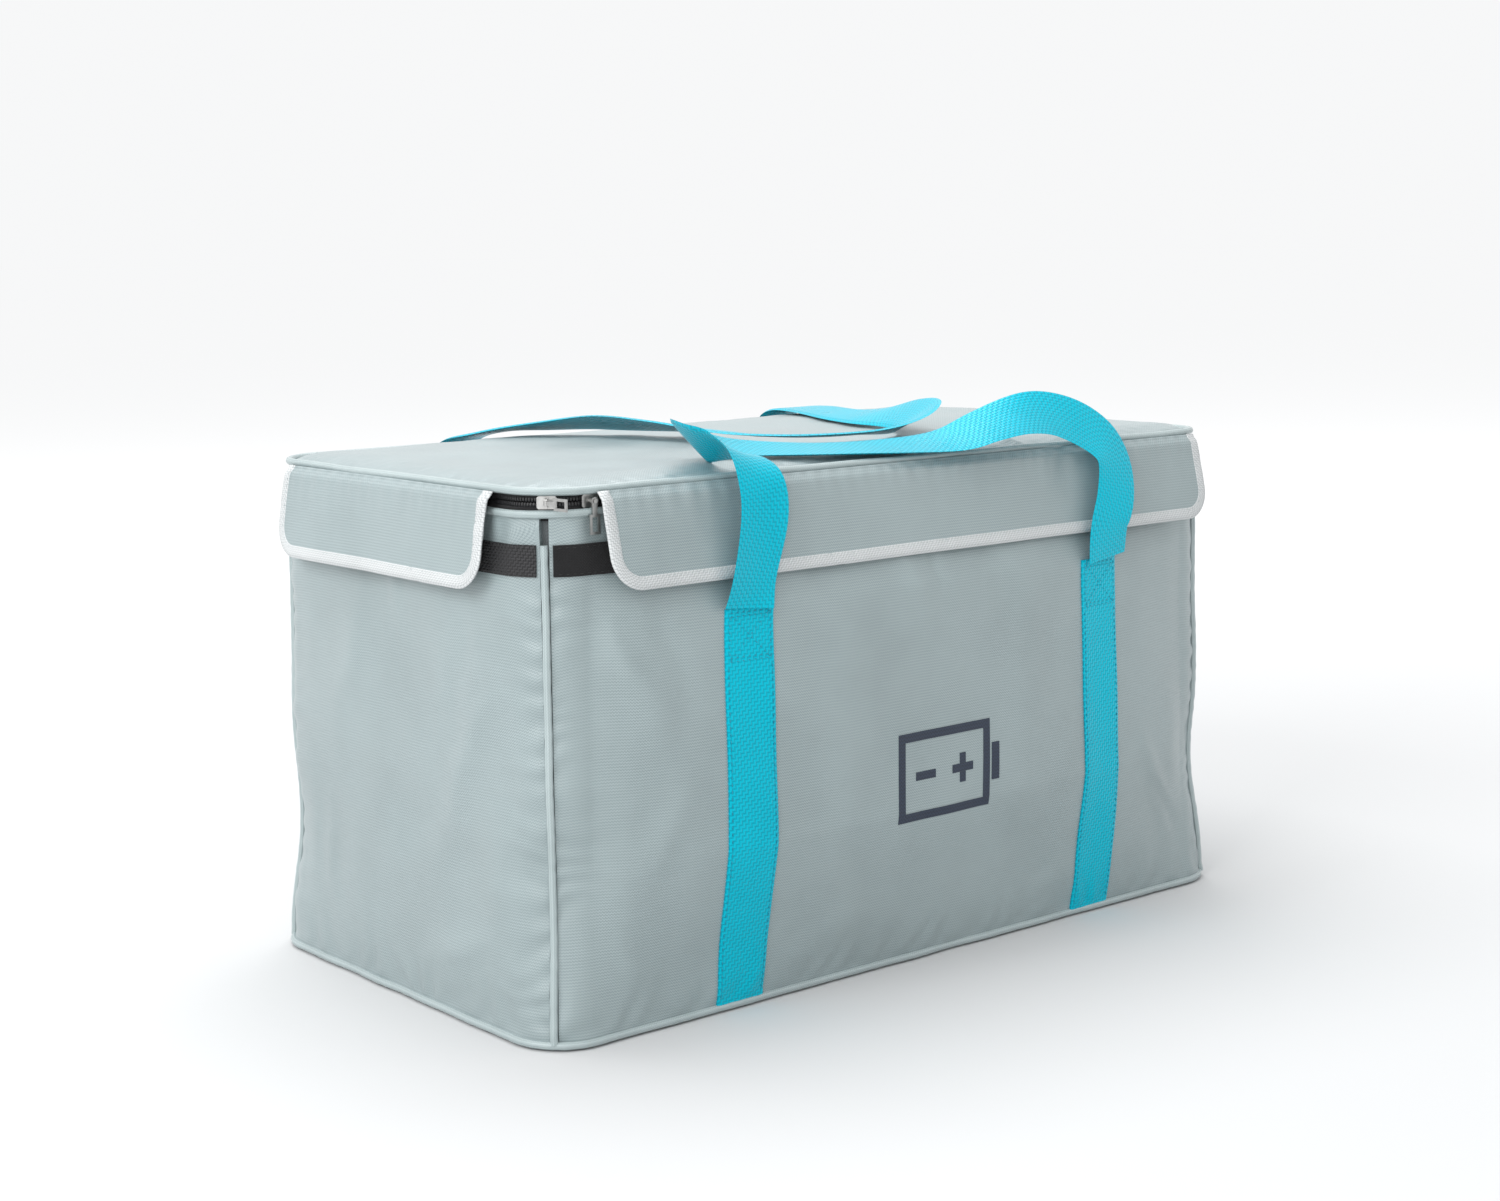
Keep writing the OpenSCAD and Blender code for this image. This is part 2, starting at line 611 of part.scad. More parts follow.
base_panel();
base_board();
base_liner();
base_piping();
front_panel();
back_panel();
left_panel();
right_panel();
front_pad();
back_pad();
left_pad();
right_pad();
front_liner();
back_liner();
left_liner();
right_liner();
front_left_piping();
front_right_piping();
back_left_piping();
back_right_piping();
rim_piping();
hinge_strip();
hinge_seam();
front_band();
left_band();
right_band();
front_left_strap();
front_right_strap();
back_left_strap();
back_right_strap();
lower_zip_tape();
lower_zip_teeth();
zip_end_stops();
lid_panel();
lid_pad();
lid_liner();
lid_piping();
upper_zip_tape();
upper_zip_teeth();
front_flap();
front_flap_binding();
front_flap_fastener();
left_flap();
left_flap_binding();
left_flap_fastener();
right_flap();
right_flap_binding();
right_flap_fastener();
front_handle();
back_handle();
corner_slider();
corner_slider_pull();
front_slider();
front_slider_pull();
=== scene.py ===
# %% [markdown]
# # A padded bag for lithium batteries
# The bag is a soft box. Coated fabric covers thick felt, cord piping fills the seams, and a
# zip runs round three sides of the lid under three hook-and-loop flaps. Turquoise webbing
# carries it. The CAD frame is loaded first, because every piece takes its place from it.

# %% Load the frame
import math
import bpy
import numpy as np
from mathutils import Matrix, Vector


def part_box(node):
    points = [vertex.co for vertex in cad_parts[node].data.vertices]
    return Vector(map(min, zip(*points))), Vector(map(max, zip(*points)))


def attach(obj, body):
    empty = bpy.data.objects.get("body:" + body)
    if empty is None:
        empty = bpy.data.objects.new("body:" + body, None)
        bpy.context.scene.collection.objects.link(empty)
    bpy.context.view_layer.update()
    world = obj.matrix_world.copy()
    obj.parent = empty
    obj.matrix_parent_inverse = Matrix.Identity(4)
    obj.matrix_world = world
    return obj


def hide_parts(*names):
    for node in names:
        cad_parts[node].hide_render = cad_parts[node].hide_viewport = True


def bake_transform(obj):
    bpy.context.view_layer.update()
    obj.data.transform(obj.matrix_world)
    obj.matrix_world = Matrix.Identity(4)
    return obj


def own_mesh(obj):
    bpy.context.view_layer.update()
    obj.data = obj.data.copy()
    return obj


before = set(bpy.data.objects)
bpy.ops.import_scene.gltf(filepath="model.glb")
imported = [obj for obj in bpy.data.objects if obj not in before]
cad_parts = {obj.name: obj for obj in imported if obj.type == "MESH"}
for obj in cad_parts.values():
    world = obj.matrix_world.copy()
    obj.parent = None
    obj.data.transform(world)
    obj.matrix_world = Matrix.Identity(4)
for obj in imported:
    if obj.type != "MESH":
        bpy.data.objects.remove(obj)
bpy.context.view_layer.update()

MM = 0.001


def span(node, axis):
    """Lowest and highest millimetre of a CAD node along one axis."""
    low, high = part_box(node)
    return low[axis] / MM, high[axis] / MM


CORD_R = (span("lid_piping", 2)[1] - span("lid_piping", 2)[0]) / 2
BASE_X = span("base_piping", 0)[1] - CORD_R
BASE_Y = span("base_piping", 1)[1] - CORD_R
TOP_X = span("lid_piping", 0)[1] - CORD_R
TOP_Y = -span("lid_piping", 1)[0] - CORD_R
BAG_H = sum(span("lid_piping", 2)) / 2
RIM_Z = sum(span("rim_piping", 2)) / 2
WALL_LOW, WALL_TOP = span("left_panel", 2)
BAND_LOW, BAND_TOP = span("front_band", 2)
STRAP_TOP = span("front_left_strap", 2)[1]
STRAP_MID = sum(span("front_right_strap", 0)) / 2
STRAP_W = 38.0  # width of the webbing
CORNER = 36.0  # radius of the upright corners
FELT = 7.2  # outer cloth and felt together
print("base half size", BASE_X, BASE_Y, "rim half size", TOP_X, TOP_Y, "lid seam", BAG_H)

# %% [markdown]
# ## The camera
# A longer lens from two metres away keeps the box's edges nearly parallel. The camera stands
# off the near left corner, a little above the lid, and looks slightly down.

# %% Camera
def look_matrix(place, yaw, pitch, roll):
    """Right, up and back as columns: yaw turns the view from +Y towards +X, then pitch and roll tip it."""
    y, p, r = (math.radians(a) for a in (yaw, pitch, roll))
    ahead = Vector((math.sin(y) * math.cos(p), math.cos(y) * math.cos(p), math.sin(p)))
    right = Vector((math.cos(y), -math.sin(y), 0))
    up = right.cross(ahead)
    turned_right = math.cos(r) * right + math.sin(r) * up
    turned_up = math.cos(r) * up - math.sin(r) * right
    m = Matrix((turned_right, turned_up, -ahead)).transposed().to_4x4()
    m.translation = Vector(place)
    return m


CAMERA_PLACE = (-1.0976, -1.3165, 0.4897)
YAW, PITCH, ROLL = 39.56, -8.71, -0.78
lens = bpy.data.cameras.new("camera")
lens.sensor_width = 36
lens.lens = 57.76
camera = bpy.data.objects.new("camera", lens)
camera.matrix_world = look_matrix(CAMERA_PLACE, YAW, PITCH, ROLL)
bpy.context.scene.collection.objects.link(camera)
bpy.context.scene.camera = camera
print("camera at", tuple(round(x, 3) for x in camera.location), "lens", lens.lens)

# %% [markdown]
# ## Light and floor
# Satin fabric only reads as satin when something broad is mirrored in it, so the lights are
# large soft panels. The strongest stands at the left and above, which leaves the long front
# wall a shade darker than the end wall.

# %% Studio
def area_light(name, place, target, size, power, tint=(1, 1, 1)):
    data = bpy.data.lights.new(name, "AREA")
    data.shape = "RECTANGLE"
    data.size, data.size_y = size
    data.energy = power
    data.color = tint
    light = bpy.data.objects.new(name, data)
    ahead = Vector(target) - Vector(place)
    light.rotation_euler = ahead.to_track_quat("-Z", "Y").to_euler()
    light.location = place
    bpy.context.scene.collection.objects.link(light)


area_light("key", (-2.3, -0.5, 1.6), (0, 0, 0.2), (1.5, 1.3), 34)
area_light("top", (0.1, 0.7, 2.4), (0, 0, 0.2), (2.4, 1.6), 46)
area_light("corner glow", (-1.9, -2.0, 0.9), (-0.2, -0.1, 0.2), (0.5, 1.3), 9)

world = bpy.data.worlds.new("studio")
bpy.context.scene.world = world
world.use_nodes = True
sky = world.node_tree.nodes["Background"]
sky.inputs["Color"].default_value = (0.93, 0.935, 0.94, 1)
sky.inputs["Strength"].default_value = 1.0


def plain_material(name, color, rough):
    m = bpy.data.materials.new(name)
    m.use_nodes = True
    shader = m.node_tree.nodes["Principled BSDF"]
    shader.inputs["Base Color"].default_value = (*color, 1)
    shader.inputs["Roughness"].default_value = rough
    return m


FLOOR = 40  # metres from the middle to each edge, far enough to show no horizon
floor_mesh = bpy.data.meshes.new("floor")
floor_corners = [(-FLOOR, -FLOOR, 0), (FLOOR, -FLOOR, 0), (FLOOR, FLOOR, 0), (-FLOOR, FLOOR, 0)]
floor_mesh.from_pydata(floor_corners, [], [(0, 1, 2, 3)])
floor = bpy.data.objects.new("floor", floor_mesh)
paper = plain_material("pale floor", (0.66, 0.665, 0.67), 0.7)
paper_tree = paper.node_tree
paper_shader = paper_tree.nodes["Principled BSDF"]
# Painted light: the floor's colour is darker near the bag, where the lamps are strong, and brighter far away,
# where they fade, so it looks evenly lit and meets the backdrop with no horizon.
spot = paper_tree.nodes.new("ShaderNodeTexCoord")
reach = paper_tree.nodes.new("ShaderNodeVectorMath")
reach.operation = "LENGTH"
paper_tree.links.new(spot.outputs["Object"], reach.inputs[0])
away = paper_tree.nodes.new("ShaderNodeMapRange")
away.interpolation_type = "SMOOTHSTEP"
away.inputs["From Min"].default_value = 0.5
away.inputs["From Max"].default_value = 3.2
paper_tree.links.new(reach.outputs["Value"], away.inputs["Value"])
shade = paper_tree.nodes.new("ShaderNodeValToRGB")
shade.color_ramp.elements[0].color = (0.6, 0.605, 0.61, 1)
shade.color_ramp.elements[1].color = (1, 1, 1, 1)
paper_tree.links.new(away.outputs["Result"], shade.inputs["Fac"])
paper_tree.links.new(shade.outputs["Color"], paper_shader.inputs["Base Color"])
paper_shader.inputs["Specular IOR Level"].default_value = 0.0
floor_mesh.materials.append(paper)
bpy.context.scene.collection.objects.link(floor)
bpy.context.scene.view_settings.view_transform = "Standard"

# %% [markdown]
# ## Meshes from grids
# A soft surface is easiest to steer as a function of two numbers, such as how far along the
# wall and how high. numpy works out the whole grid at once. Two matching grids, the outer and
# the inner side, joined round their rims make a closed skin that has a real thickness.

# %% Grid helpers
def put_mesh(name, points, faces, uv, material, body, nodes, sharp=35):
    """points in mm, faces as lists, uv one pair of metres for each point."""
    mesh = bpy.data.meshes.new(name)
    mesh.from_pydata((points * MM).tolist(), [], faces)
    if uv is not None:
        layer = mesh.uv_layers.new(name="UVMap")
        corner = np.empty(len(mesh.loops), np.int32)
        mesh.loops.foreach_get("vertex_index", corner)
        layer.data.foreach_set("uv", uv[corner].astype(np.float32).ravel())
    mesh.polygons.foreach_set("use_smooth", np.ones(len(mesh.polygons), bool))
    mesh.set_sharp_from_angle(angle=math.radians(sharp))
    mesh.materials.append(material)
    piece = bpy.data.objects.new(name, mesh)
    bpy.context.scene.collection.objects.link(piece)
    if body:
        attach(piece, body)
    if nodes:
        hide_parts(*nodes)
    return piece


def run_along(path):
    """Distance from the start of a path to each of its points."""
    return np.concatenate([[0], np.linalg.norm(np.diff(path, axis=0), axis=1).cumsum()])


def read_at(where, run, rows):
    """The x, y and z of a path, read off at chosen distances along it."""
    return np.stack([np.interp(where, run, rows[:, k]) for k in range(3)], 1)


def arc_uv(grid):
    """Distance along each row and up each column, in metres, so a pattern keeps its size."""
    along = np.linalg.norm(np.diff(grid, axis=1), axis=2).cumsum(1)
    up = np.linalg.norm(np.diff(grid, axis=0), axis=2).cumsum(0)
    rows, cols = grid.shape[:2]
    u = np.zeros((rows, cols))
    v = np.zeros((rows, cols))
    u[:, 1:] = along
    v[1:, :] = up
    return np.stack([u - u.mean(), v - v.mean()], 2) * MM


def skin_faces(rows, cols):
    """Quads of the outer grid, the turned quads of the inner grid, and the rim between them."""
    index = np.arange(rows * cols).reshape(rows, cols)
    quads = np.stack([index[:-1, :-1], index[:-1, 1:], index[1:, 1:], index[1:, :-1]], 2)
    outer = quads.reshape(-1, 4)
    inner = outer[:, ::-1] + rows * cols
    loop = np.concatenate([index[0, :-1], index[:-1, -1], index[-1, :0:-1], index[:0:-1, 0]])
    after = np.roll(loop, -1)
    rim = np.stack([after, loop, loop + rows * cols, after + rows * cols], 1)
    return np.concatenate([outer, inner, rim]).tolist()


def skin(name, outer, inner, material, body, nodes=(), uv=None):
    """A closed skin between two grids of the same size."""
    rows, cols = outer.shape[:2]
    points = np.concatenate([outer.reshape(-1, 3), inner.reshape(-1, 3)])
    pair = (arc_uv(outer) if uv is None else uv).reshape(-1, 2)
    faces = skin_faces(rows, cols)
    return put_mesh(name, points, faces, np.concatenate([pair, pair]), material, body, nodes)


def unit(a):
    return a / np.maximum(np.linalg.norm(a, axis=-1, keepdims=True), 1e-9)


def smooth_step(x):
    x = np.clip(x, 0, 1)
    return x * x * (3 - 2 * x)


def ripple(a, b, seed, size, waves=9):
    """Sine waves in scattered directions, summed: about -1 to 1, with features about `size` mm across."""
    dice = np.random.RandomState(seed)
    angle = dice.uniform(0, math.pi, waves)
    pitch = size * dice.uniform(0.7, 1.9, waves)
    phase = dice.uniform(0, 2 * math.pi, waves)
    total = 0
    for k in range(waves):
        forward = a * math.cos(angle[k]) + b * math.sin(angle[k])
        total = total + np.sin(forward * 2 * math.pi / pitch[k] + phase[k])
    return total / waves ** 0.5 / 1.6


print("helpers ready; a ripple sample:", round(float(ripple(10.0, 20.0, 1, 50)), 3))

# %% [markdown]
# ## Shader groups
# Every finish here is woven or worn in some way, so two groups do the shared work. One draws
# threads that cross over and under, the other gives soft, uneven blotches. They put out only
# masks and heights, and each material mixes its own colours with them.

# %% Node helpers
def wire(tree, kind, values=None, links=None, **settings):
    """A node with its settings, its plain values, and the sockets that feed it."""
    node = tree.nodes.new(kind)
    for key, value in settings.items():
        setattr(node, key, value)
    for key, value in (values or {}).items():
        node.inputs[key].default_value = value
    for key, source in (links or {}).items():
        tree.links.new(source, node.inputs[key])
    return node


def calc(tree, operation, a, b=0.0, c=0.0):
    """A Math node on sockets or plain numbers."""
    node = tree.nodes.new("ShaderNodeMath")
    node.operation = operation
    for k, x in enumerate((a, b, c)):
        if isinstance(x, (int, float)):
            node.inputs[k].default_value = x
        else:
            tree.links.new(x, node.inputs[k])
    return node.outputs[0]


def new_group(name, ins, outs):
    """A shader node group, with its input and output sockets."""
    group = bpy.data.node_groups.new(name, "ShaderNodeTree")
    for label, kind in ins:
        group.interface.new_socket(label, in_out="INPUT", socket_type=kind)
    for label in outs:
        group.interface.new_socket(label, in_out="OUTPUT", socket_type="NodeSocketFloat")
    entry = group.nodes.new("NodeGroupInput")
    leave = group.nodes.new("NodeGroupOutput")
    return group, entry.outputs, leave.inputs


# %% Crossed threads
weave, w_in, w_out = new_group(
    "crossed threads", [("Vector", "NodeSocketVector"), ("Threads", "NodeSocketFloat")], ["Height", "Gap"])
split = wire(weave, "ShaderNodeSeparateXYZ", links={"Vector": w_in["Vector"]})
across = calc(weave, "MULTIPLY", split.outputs["X"], w_in["Threads"])
upward = calc(weave, "MULTIPLY", split.outputs["Y"], w_in["Threads"])
warp = calc(weave, "ABSOLUTE", calc(weave, "SINE", calc(weave, "MULTIPLY", across, math.pi)))
weft = calc(weave, "ABSOLUTE", calc(weave, "SINE", calc(weave, "MULTIPLY", upward, math.pi)))
lean = calc(weave, "SINE", calc(weave, "MULTIPLY", calc(weave, "ADD", across, upward), math.pi))
over = calc(weave, "MULTIPLY_ADD", lean, 0.5, 0.5)
warp_part = calc(weave, "MULTIPLY", warp, over)
weft_part = calc(weave, "MULTIPLY", weft, calc(weave, "SUBTRACT", 1.0, over))
height = calc(weave, "ADD", warp_part, weft_part)
weave.links.new(height, w_out["Height"])
weave.links.new(calc(weave, "SUBTRACT", 1.0, calc(weave, "POWER", height, 0.5)), w_out["Gap"])

# %% Soft blotches
blotch, b_in, b_out = new_group(
    "soft blotches", [("Vector", "NodeSocketVector"), ("Size", "NodeSocketFloat")], ["Mask", "Fine"])
broad = wire(blotch, "ShaderNodeTexNoise", {"Detail": 4.0, "Roughness": 0.6},
             {"Vector": b_in["Vector"], "Scale": b_in["Size"]})
fine = wire(blotch, "ShaderNodeTexNoise", {"Detail": 6.0, "Roughness": 0.7, "Scale": 260.0},
            {"Vector": b_in["Vector"]})
centred = calc(blotch, "SUBTRACT", broad.outputs[0], 0.5)
blotch.links.new(calc(blotch, "MULTIPLY_ADD", centred, 2.2, 0.5), b_out["Mask"])
blotch.links.new(fine.outputs[0], b_out["Fine"])
print("groups", [g.name for g in bpy.data.node_groups])

# %% [markdown]
# ## Finishes
# Each material starts from its real build. Coated cloth is a weave under a satin film, webbing
# is ribbed across, hook tape is coarse and loop tape is plush, felt is matt and fibrous.

# %% Material builder
def woven(name, dark, light, rough, threads, bump, turn=0.0, use_uv=True, blotch_size=14.0,
          sheen=0.0, coat=0.0, glint=(1, 1, 1)):
    """Principled material with crossed threads: dark in the gaps as painted shade, light on the threads, with
    random blotches of tone.
    """
    m = bpy.data.materials.new(name)
    m.use_nodes = True
    tree = m.node_tree
    shader = tree.nodes["Principled BSDF"]
    where = tree.nodes.new("ShaderNodeTexCoord")
    place = wire(tree, "ShaderNodeMapping", {"Rotation": (0, 0, math.radians(turn))},
                 {"Vector": where.outputs["UV" if use_uv else "Object"]})
    threads_node = wire(tree, "ShaderNodeGroup", node_tree=weave)
    threads_node.inputs["Threads"].default_value = threads
    tree.links.new(place.outputs[0], threads_node.inputs["Vector"])
    patches = wire(tree, "ShaderNodeGroup", node_tree=blotch)
    patches.inputs["Size"].default_value = blotch_size
    tree.links.new(where.outputs["Object"], patches.inputs["Vector"])
    # The thread height darkens the colour in the gaps, which is painted shade between the threads. The
    # blotches add random tone.
    gap_shade_part = calc(tree, "MULTIPLY", threads_node.outputs["Height"], 0.75)
    patch_part = calc(tree, "MULTIPLY", patches.outputs["Mask"], 0.25)
    gap_shade_and_tone = calc(tree, "ADD", gap_shade_part, patch_part)
    ramp = wire(tree, "ShaderNodeValToRGB", links={"Fac": gap_shade_and_tone})
    ramp.color_ramp.elements[0].position = 0.1
    ramp.color_ramp.elements[0].color = (*dark, 1)
    ramp.color_ramp.elements[1].position = 0.85
    ramp.color_ramp.elements[1].color = (*light, 1)
    tree.links.new(ramp.outputs[0], shader.inputs["Base Color"])
    uneven = calc(tree, "MULTIPLY_ADD", patches.outputs["Mask"], 0.14, rough - 0.07)
    tree.links.new(uneven, shader.inputs["Roughness"])
    grain = calc(tree, "MULTIPLY", patches.outputs["Fine"], 0.5)
    relief = calc(tree, "ADD", threads_node.outputs["Height"], grain)
    raised = wire(tree, "ShaderNodeBump", {"Strength": bump, "Distance": 0.0006}, {"Height": relief})
    tree.links.new(raised.outputs[0], shader.inputs["Normal"])
    shader.inputs["Sheen Weight"].default_value = sheen
    shader.inputs["Sheen Roughness"].default_value = 0.4
    shader.inputs["Coat Weight"].default_value = coat
    shader.inputs["Coat Roughness"].default_value = 0.35
    shader.inputs["Specular Tint"].default_value = (*glint, 1)
    return m


# %% Finishes
# Name, painted shade colour in the gaps, colour on the threads, roughness, threads in a metre, depth of the
# weave.
coated = woven("coated cloth", (0.17, 0.215, 0.222), (0.31, 0.375, 0.385), 0.37, 760, 0.28,
               turn=45, sheen=0.03, coat=0.35)
piping_cloth = woven("piping cloth", (0.22, 0.275, 0.28), (0.4, 0.47, 0.475), 0.36, 760, 0.25,
                     turn=45, coat=0.35)
lining = woven("lining cloth", (0.1, 0.115, 0.12), (0.2, 0.22, 0.23), 0.7, 900, 0.3, sheen=0.15)
binding = woven("pale binding", (0.34, 0.36, 0.365), (0.6, 0.62, 0.625), 0.62, 700, 0.5, sheen=0.05)
turquoise = woven("turquoise webbing", (0.001, 0.27, 0.37), (0.002, 0.46, 0.6), 0.3, 420, 0.45,
                  glint=(0.12, 0.85, 1))
loops = woven("loop tape", (0.003, 0.003, 0.0035), (0.012, 0.012, 0.013), 0.95, 1100, 0.9,
              blotch_size=60, sheen=0.05)
hooks = woven("hook tape", (0.002, 0.002, 0.0025), (0.022, 0.022, 0.024), 0.6, 560, 1.0, blotch_size=60)
zip_cloth = woven("zip tape", (0.004, 0.004, 0.005), (0.018, 0.018, 0.02), 0.75, 1300, 0.6, sheen=0.1)
thread = woven("sewing thread", (0.3, 0.34, 0.345), (0.5, 0.55, 0.555), 0.55, 3000, 0.3, use_uv=False)
black_thread = woven("black thread", (0.004, 0.004, 0.004), (0.02, 0.02, 0.02), 0.5, 3000, 0.3,
                     use_uv=False)
blue_thread = woven("turquoise thread", (0.001, 0.16, 0.24), (0.003, 0.3, 0.42), 0.5, 3000, 0.3,
                    use_uv=False)


def worn_metal(name, color, rough):
    """Plated metal: smudges change the roughness and the colour a little."""
    m = plain_material(name, color, rough)
    tree = m.node_tree
    shader = tree.nodes["Principled BSDF"]
    where = tree.nodes.new("ShaderNodeTexCoord")
    patches = wire(tree, "ShaderNodeGroup", node_tree=blotch)
    patches.inputs["Size"].default_value = 220.0
    tree.links.new(where.outputs["Object"], patches.inputs["Vector"])
    ramp = wire(tree, "ShaderNodeValToRGB", links={"Fac": patches.outputs["Mask"]})
    ramp.color_ramp.elements[0].color = (*[c * 0.7 for c in color], 1)
    ramp.color_ramp.elements[1].color = (*color, 1)
    tree.links.new(ramp.outputs[0], shader.inputs["Base Color"])
    smudged = calc(tree, "MULTIPLY_ADD", patches.outputs["Fine"], 0.25, rough)
    tree.links.new(smudged, shader.inputs["Roughness"])
    raised = wire(tree, "ShaderNodeBump", {"Strength": 0.15, "Distance": 0.0003},
                  {"Height": patches.outputs["Fine"]})
    tree.links.new(raised.outputs[0], shader.inputs["Normal"])
    shader.inputs["Metallic"].default_value = 1.0
    return m


plated = worn_metal("plated metal", (0.5, 0.5, 0.49), 0.22)
coil_plastic = worn_metal("zip coil plastic", (0.02, 0.02, 0.022), 0.35)
coil_plastic.node_tree.nodes["Principled BSDF"].inputs["Metallic"].default_value = 0.0
print("materials", len(bpy.data.materials))

# %% [markdown]
# ## The shape of a wall
# All four walls use one function: a straight run, a quarter of the corner at each end, and a
# lean inwards with height. The long walls bow outwards. On top of that comes the relief of real
# cloth over felt, which is broad dents, corners pinched in by the piping, and short puckers
# beside every seam. Straps and bands use the same function with some lift, so they follow it.

# %% Wall function
SIDES = {"front": (0, -1), "right": (1, 0), "back": (0, 1), "left": (-1, 0)}
HALF = {side: (BASE_X if out_y else BASE_Y) - CORNER for side, (_, out_y) in SIDES.items()}
LONG_BOW, END_BOW = 20, 3.5  # how far the long walls and the ends bulge
BOW_RISE, BOW_FULL = 102, 108  # the long walls' bulge grows over the first, and is full from the second
# Broad dents and swells: distance along the wall, height, width, height of the patch, depth, slant.
DENTS = {
    "front": [(-235, 215, 34, 60, 3.0, 0.2), (240, 70, 30, 55, -3.0, 0.3), (60, 60, 120, 30, -2.0, 0.0),
              (-60, 190, 90, 60, 2.0, 0.3), (262, 200, 26, 70, -2.0, 0.0)],
    "left": [(30, 120, 60, 26, -4.5, 0.6), (-60, 205, 40, 70, 3.0, -0.3), (70, 240, 50, 50, 2.5, 0.2),
             (-95, 60, 30, 50, -2.5, 0.0)],
    "right": [(20, 150, 70, 40, -4.0, 0.5), (-70, 220, 40, 60, 2.5, 0.0), (80, 60, 40, 50, -3.0, 0.0)],
    "back": [(-120, 120, 110, 40, -3.0, 0.2), (140, 210, 90, 60, 2.5, 0.0), (0, 70, 140, 30, -2.0, 0.0)],
}

# Soft folds: from (s, z) to (s, z), half width, height (negative is a groove).
FOLDS = {
    "front": [(-262, 256, -232, 190, 9, 2.6), (-228, 262, -205, 178, 12, -2.2),
              (-205, 150, -262, 92, 14, 2.2), (-30, 292, -18, 238, 8, 1.8), (-8, 296, 4, 250, 6, -1.6),
              (60, 300, 96, 210, 13, 1.8), (215, 120, 252, 52, 9, 2.8), (228, 88, 268, 40, 6, -2.4),
              (-120, 24, -60, 46, 11, 1.4), (90, 20, 150, 34, 9, 1.4), (-258, 60, -236, 20, 8, 1.8)],
    "left": [(118, 214, 40, 96, 15, 3.4), (92, 250, 70, 196, 10, -2.4), (104, 60, 40, 26, 10, 2.0),
             (-40, 262, -70, 170, 13, 1.8), (-96, 120, -84, 40, 9, 1.8), (0, 290, 10, 250, 7, 1.4)],
    "right": [(-110, 210, -40, 110, 13, 2.6), (60, 250, 84, 170, 11, -2.2), (-80, 60, -20, 30, 10, 1.8)],
    "back": [(-240, 240, -180, 120, 14, 2.4), (230, 250, 190, 150, 12, -2.2),
             (-40, 290, -20, 220, 8, 1.6), (100, 30, 180, 60, 10, 1.6)],
}


def fold_lines(side, s, z):
    """Sum of ridges: height times a bell curve of the distance to each segment, fading at its ends."""
    total = 0
    for s0, z0, s1, z1, wide, height in FOLDS[side]:
        ds, dz = s1 - s0, z1 - z0
        share = np.clip(((s - s0) * ds + (z - z0) * dz) / (ds * ds + dz * dz), 0, 1)
        away = np.hypot(s - s0 - share * ds, z - z0 - share * dz)
        fade = 0.35 + 0.65 * np.sin(math.pi * share)
        total = total + height * fade * np.exp(-(away / (wide * (0.7 + 0.6 * share))) ** 2)
    return total


def bow(side, share, z):
    """Outward bulge: full in the middle of the wall, nothing at its ends, rim and base."""
    if side in ("left", "right"):
        return END_BOW * (1 - share ** 2) * np.sin(np.clip(z / WALL_TOP, 0, 1) * math.pi)
    rising = np.clip((z - WALL_LOW) / BOW_RISE, 0, 1)
    fading = np.where(z < STRAP_TOP, 1, (BAND_TOP - z) / (BAND_TOP - STRAP_TOP))
    up = np.clip(np.where(z < BOW_FULL, rising, fading), 0, 1)
    return LONG_BOW * (1 - share ** 4) * up * (1.25 - 0.25 * up)


def relief(side, s, z):
    """Cloth relief in mm at s along the wall and height z: dents, corner pinch and puckers at the seams."""
    seed = {"front": 3, "right": 14, "back": 25, "left": 36}[side]
    half = HALF[side]
    end = half + CORNER * math.pi / 4
    edge = np.clip(end - np.abs(s), 0, None)
    warp = 7 * ripple(s, z, seed + 4, 70)
    total = 1.6 * ripple(s, z, seed, 150) + 0.8 * ripple(s, z, seed + 1, 60)
    total = total + fold_lines(side, s + warp, z - warp)
    for place, height, wide, tall, depth, slant in DENTS[side]:
        a = (s - place + slant * (z - height)) / wide
        b = (z - height) / tall
        total = total + depth * np.exp(-(a * a + b * b))
    total = total * smooth_step((z - WALL_LOW) / 40) * smooth_step((WALL_TOP - z) / 45)
    total = total * smooth_step((edge - 2) / 30)
    corner = 1 - smooth_step((edge - 6) / 46)
    total = total - 7.5 * corner * np.exp(-(((z - 92) / 52) ** 2))
    total = total - 2.0 * corner * np.exp(-(((z - 210) / 60) ** 2))
    bend = 3 * ripple(s, z, seed + 2, 60)
    pucker = 1.5 * np.exp(-edge / 17) * np.sin(2 * math.pi * z / 17 + bend) * smooth_step((edge - 1) / 4)
    total = total + pucker * (0.6 + 0.6 * ripple(s, z, seed + 5, 80))
    total = total + 1.3 * np.exp(-edge / 38) * smooth_step((edge - 2) / 8) * ripple(s * 0.3, z, seed + 3, 26)
    top = WALL_TOP - z
    total = total + 1.2 * np.exp(-top / 13) * np.sin(2 * math.pi * s / 15 + bend) * smooth_step(top / 4)
    low = z - WALL_LOW
    total = total + 1.0 * np.exp(-low / 16) * np.sin(2 * math.pi * s / 27 + bend) * smooth_step(low / 5)
    if side in ("front", "back"):
        for middle in (-STRAP_MID, STRAP_MID):
            near = np.exp(-(((s - middle) / 26) ** 2))
            total = total - 1.2 * near * smooth_step((z - 10) / 40) * smooth_step((270 - z) / 30)
    return total


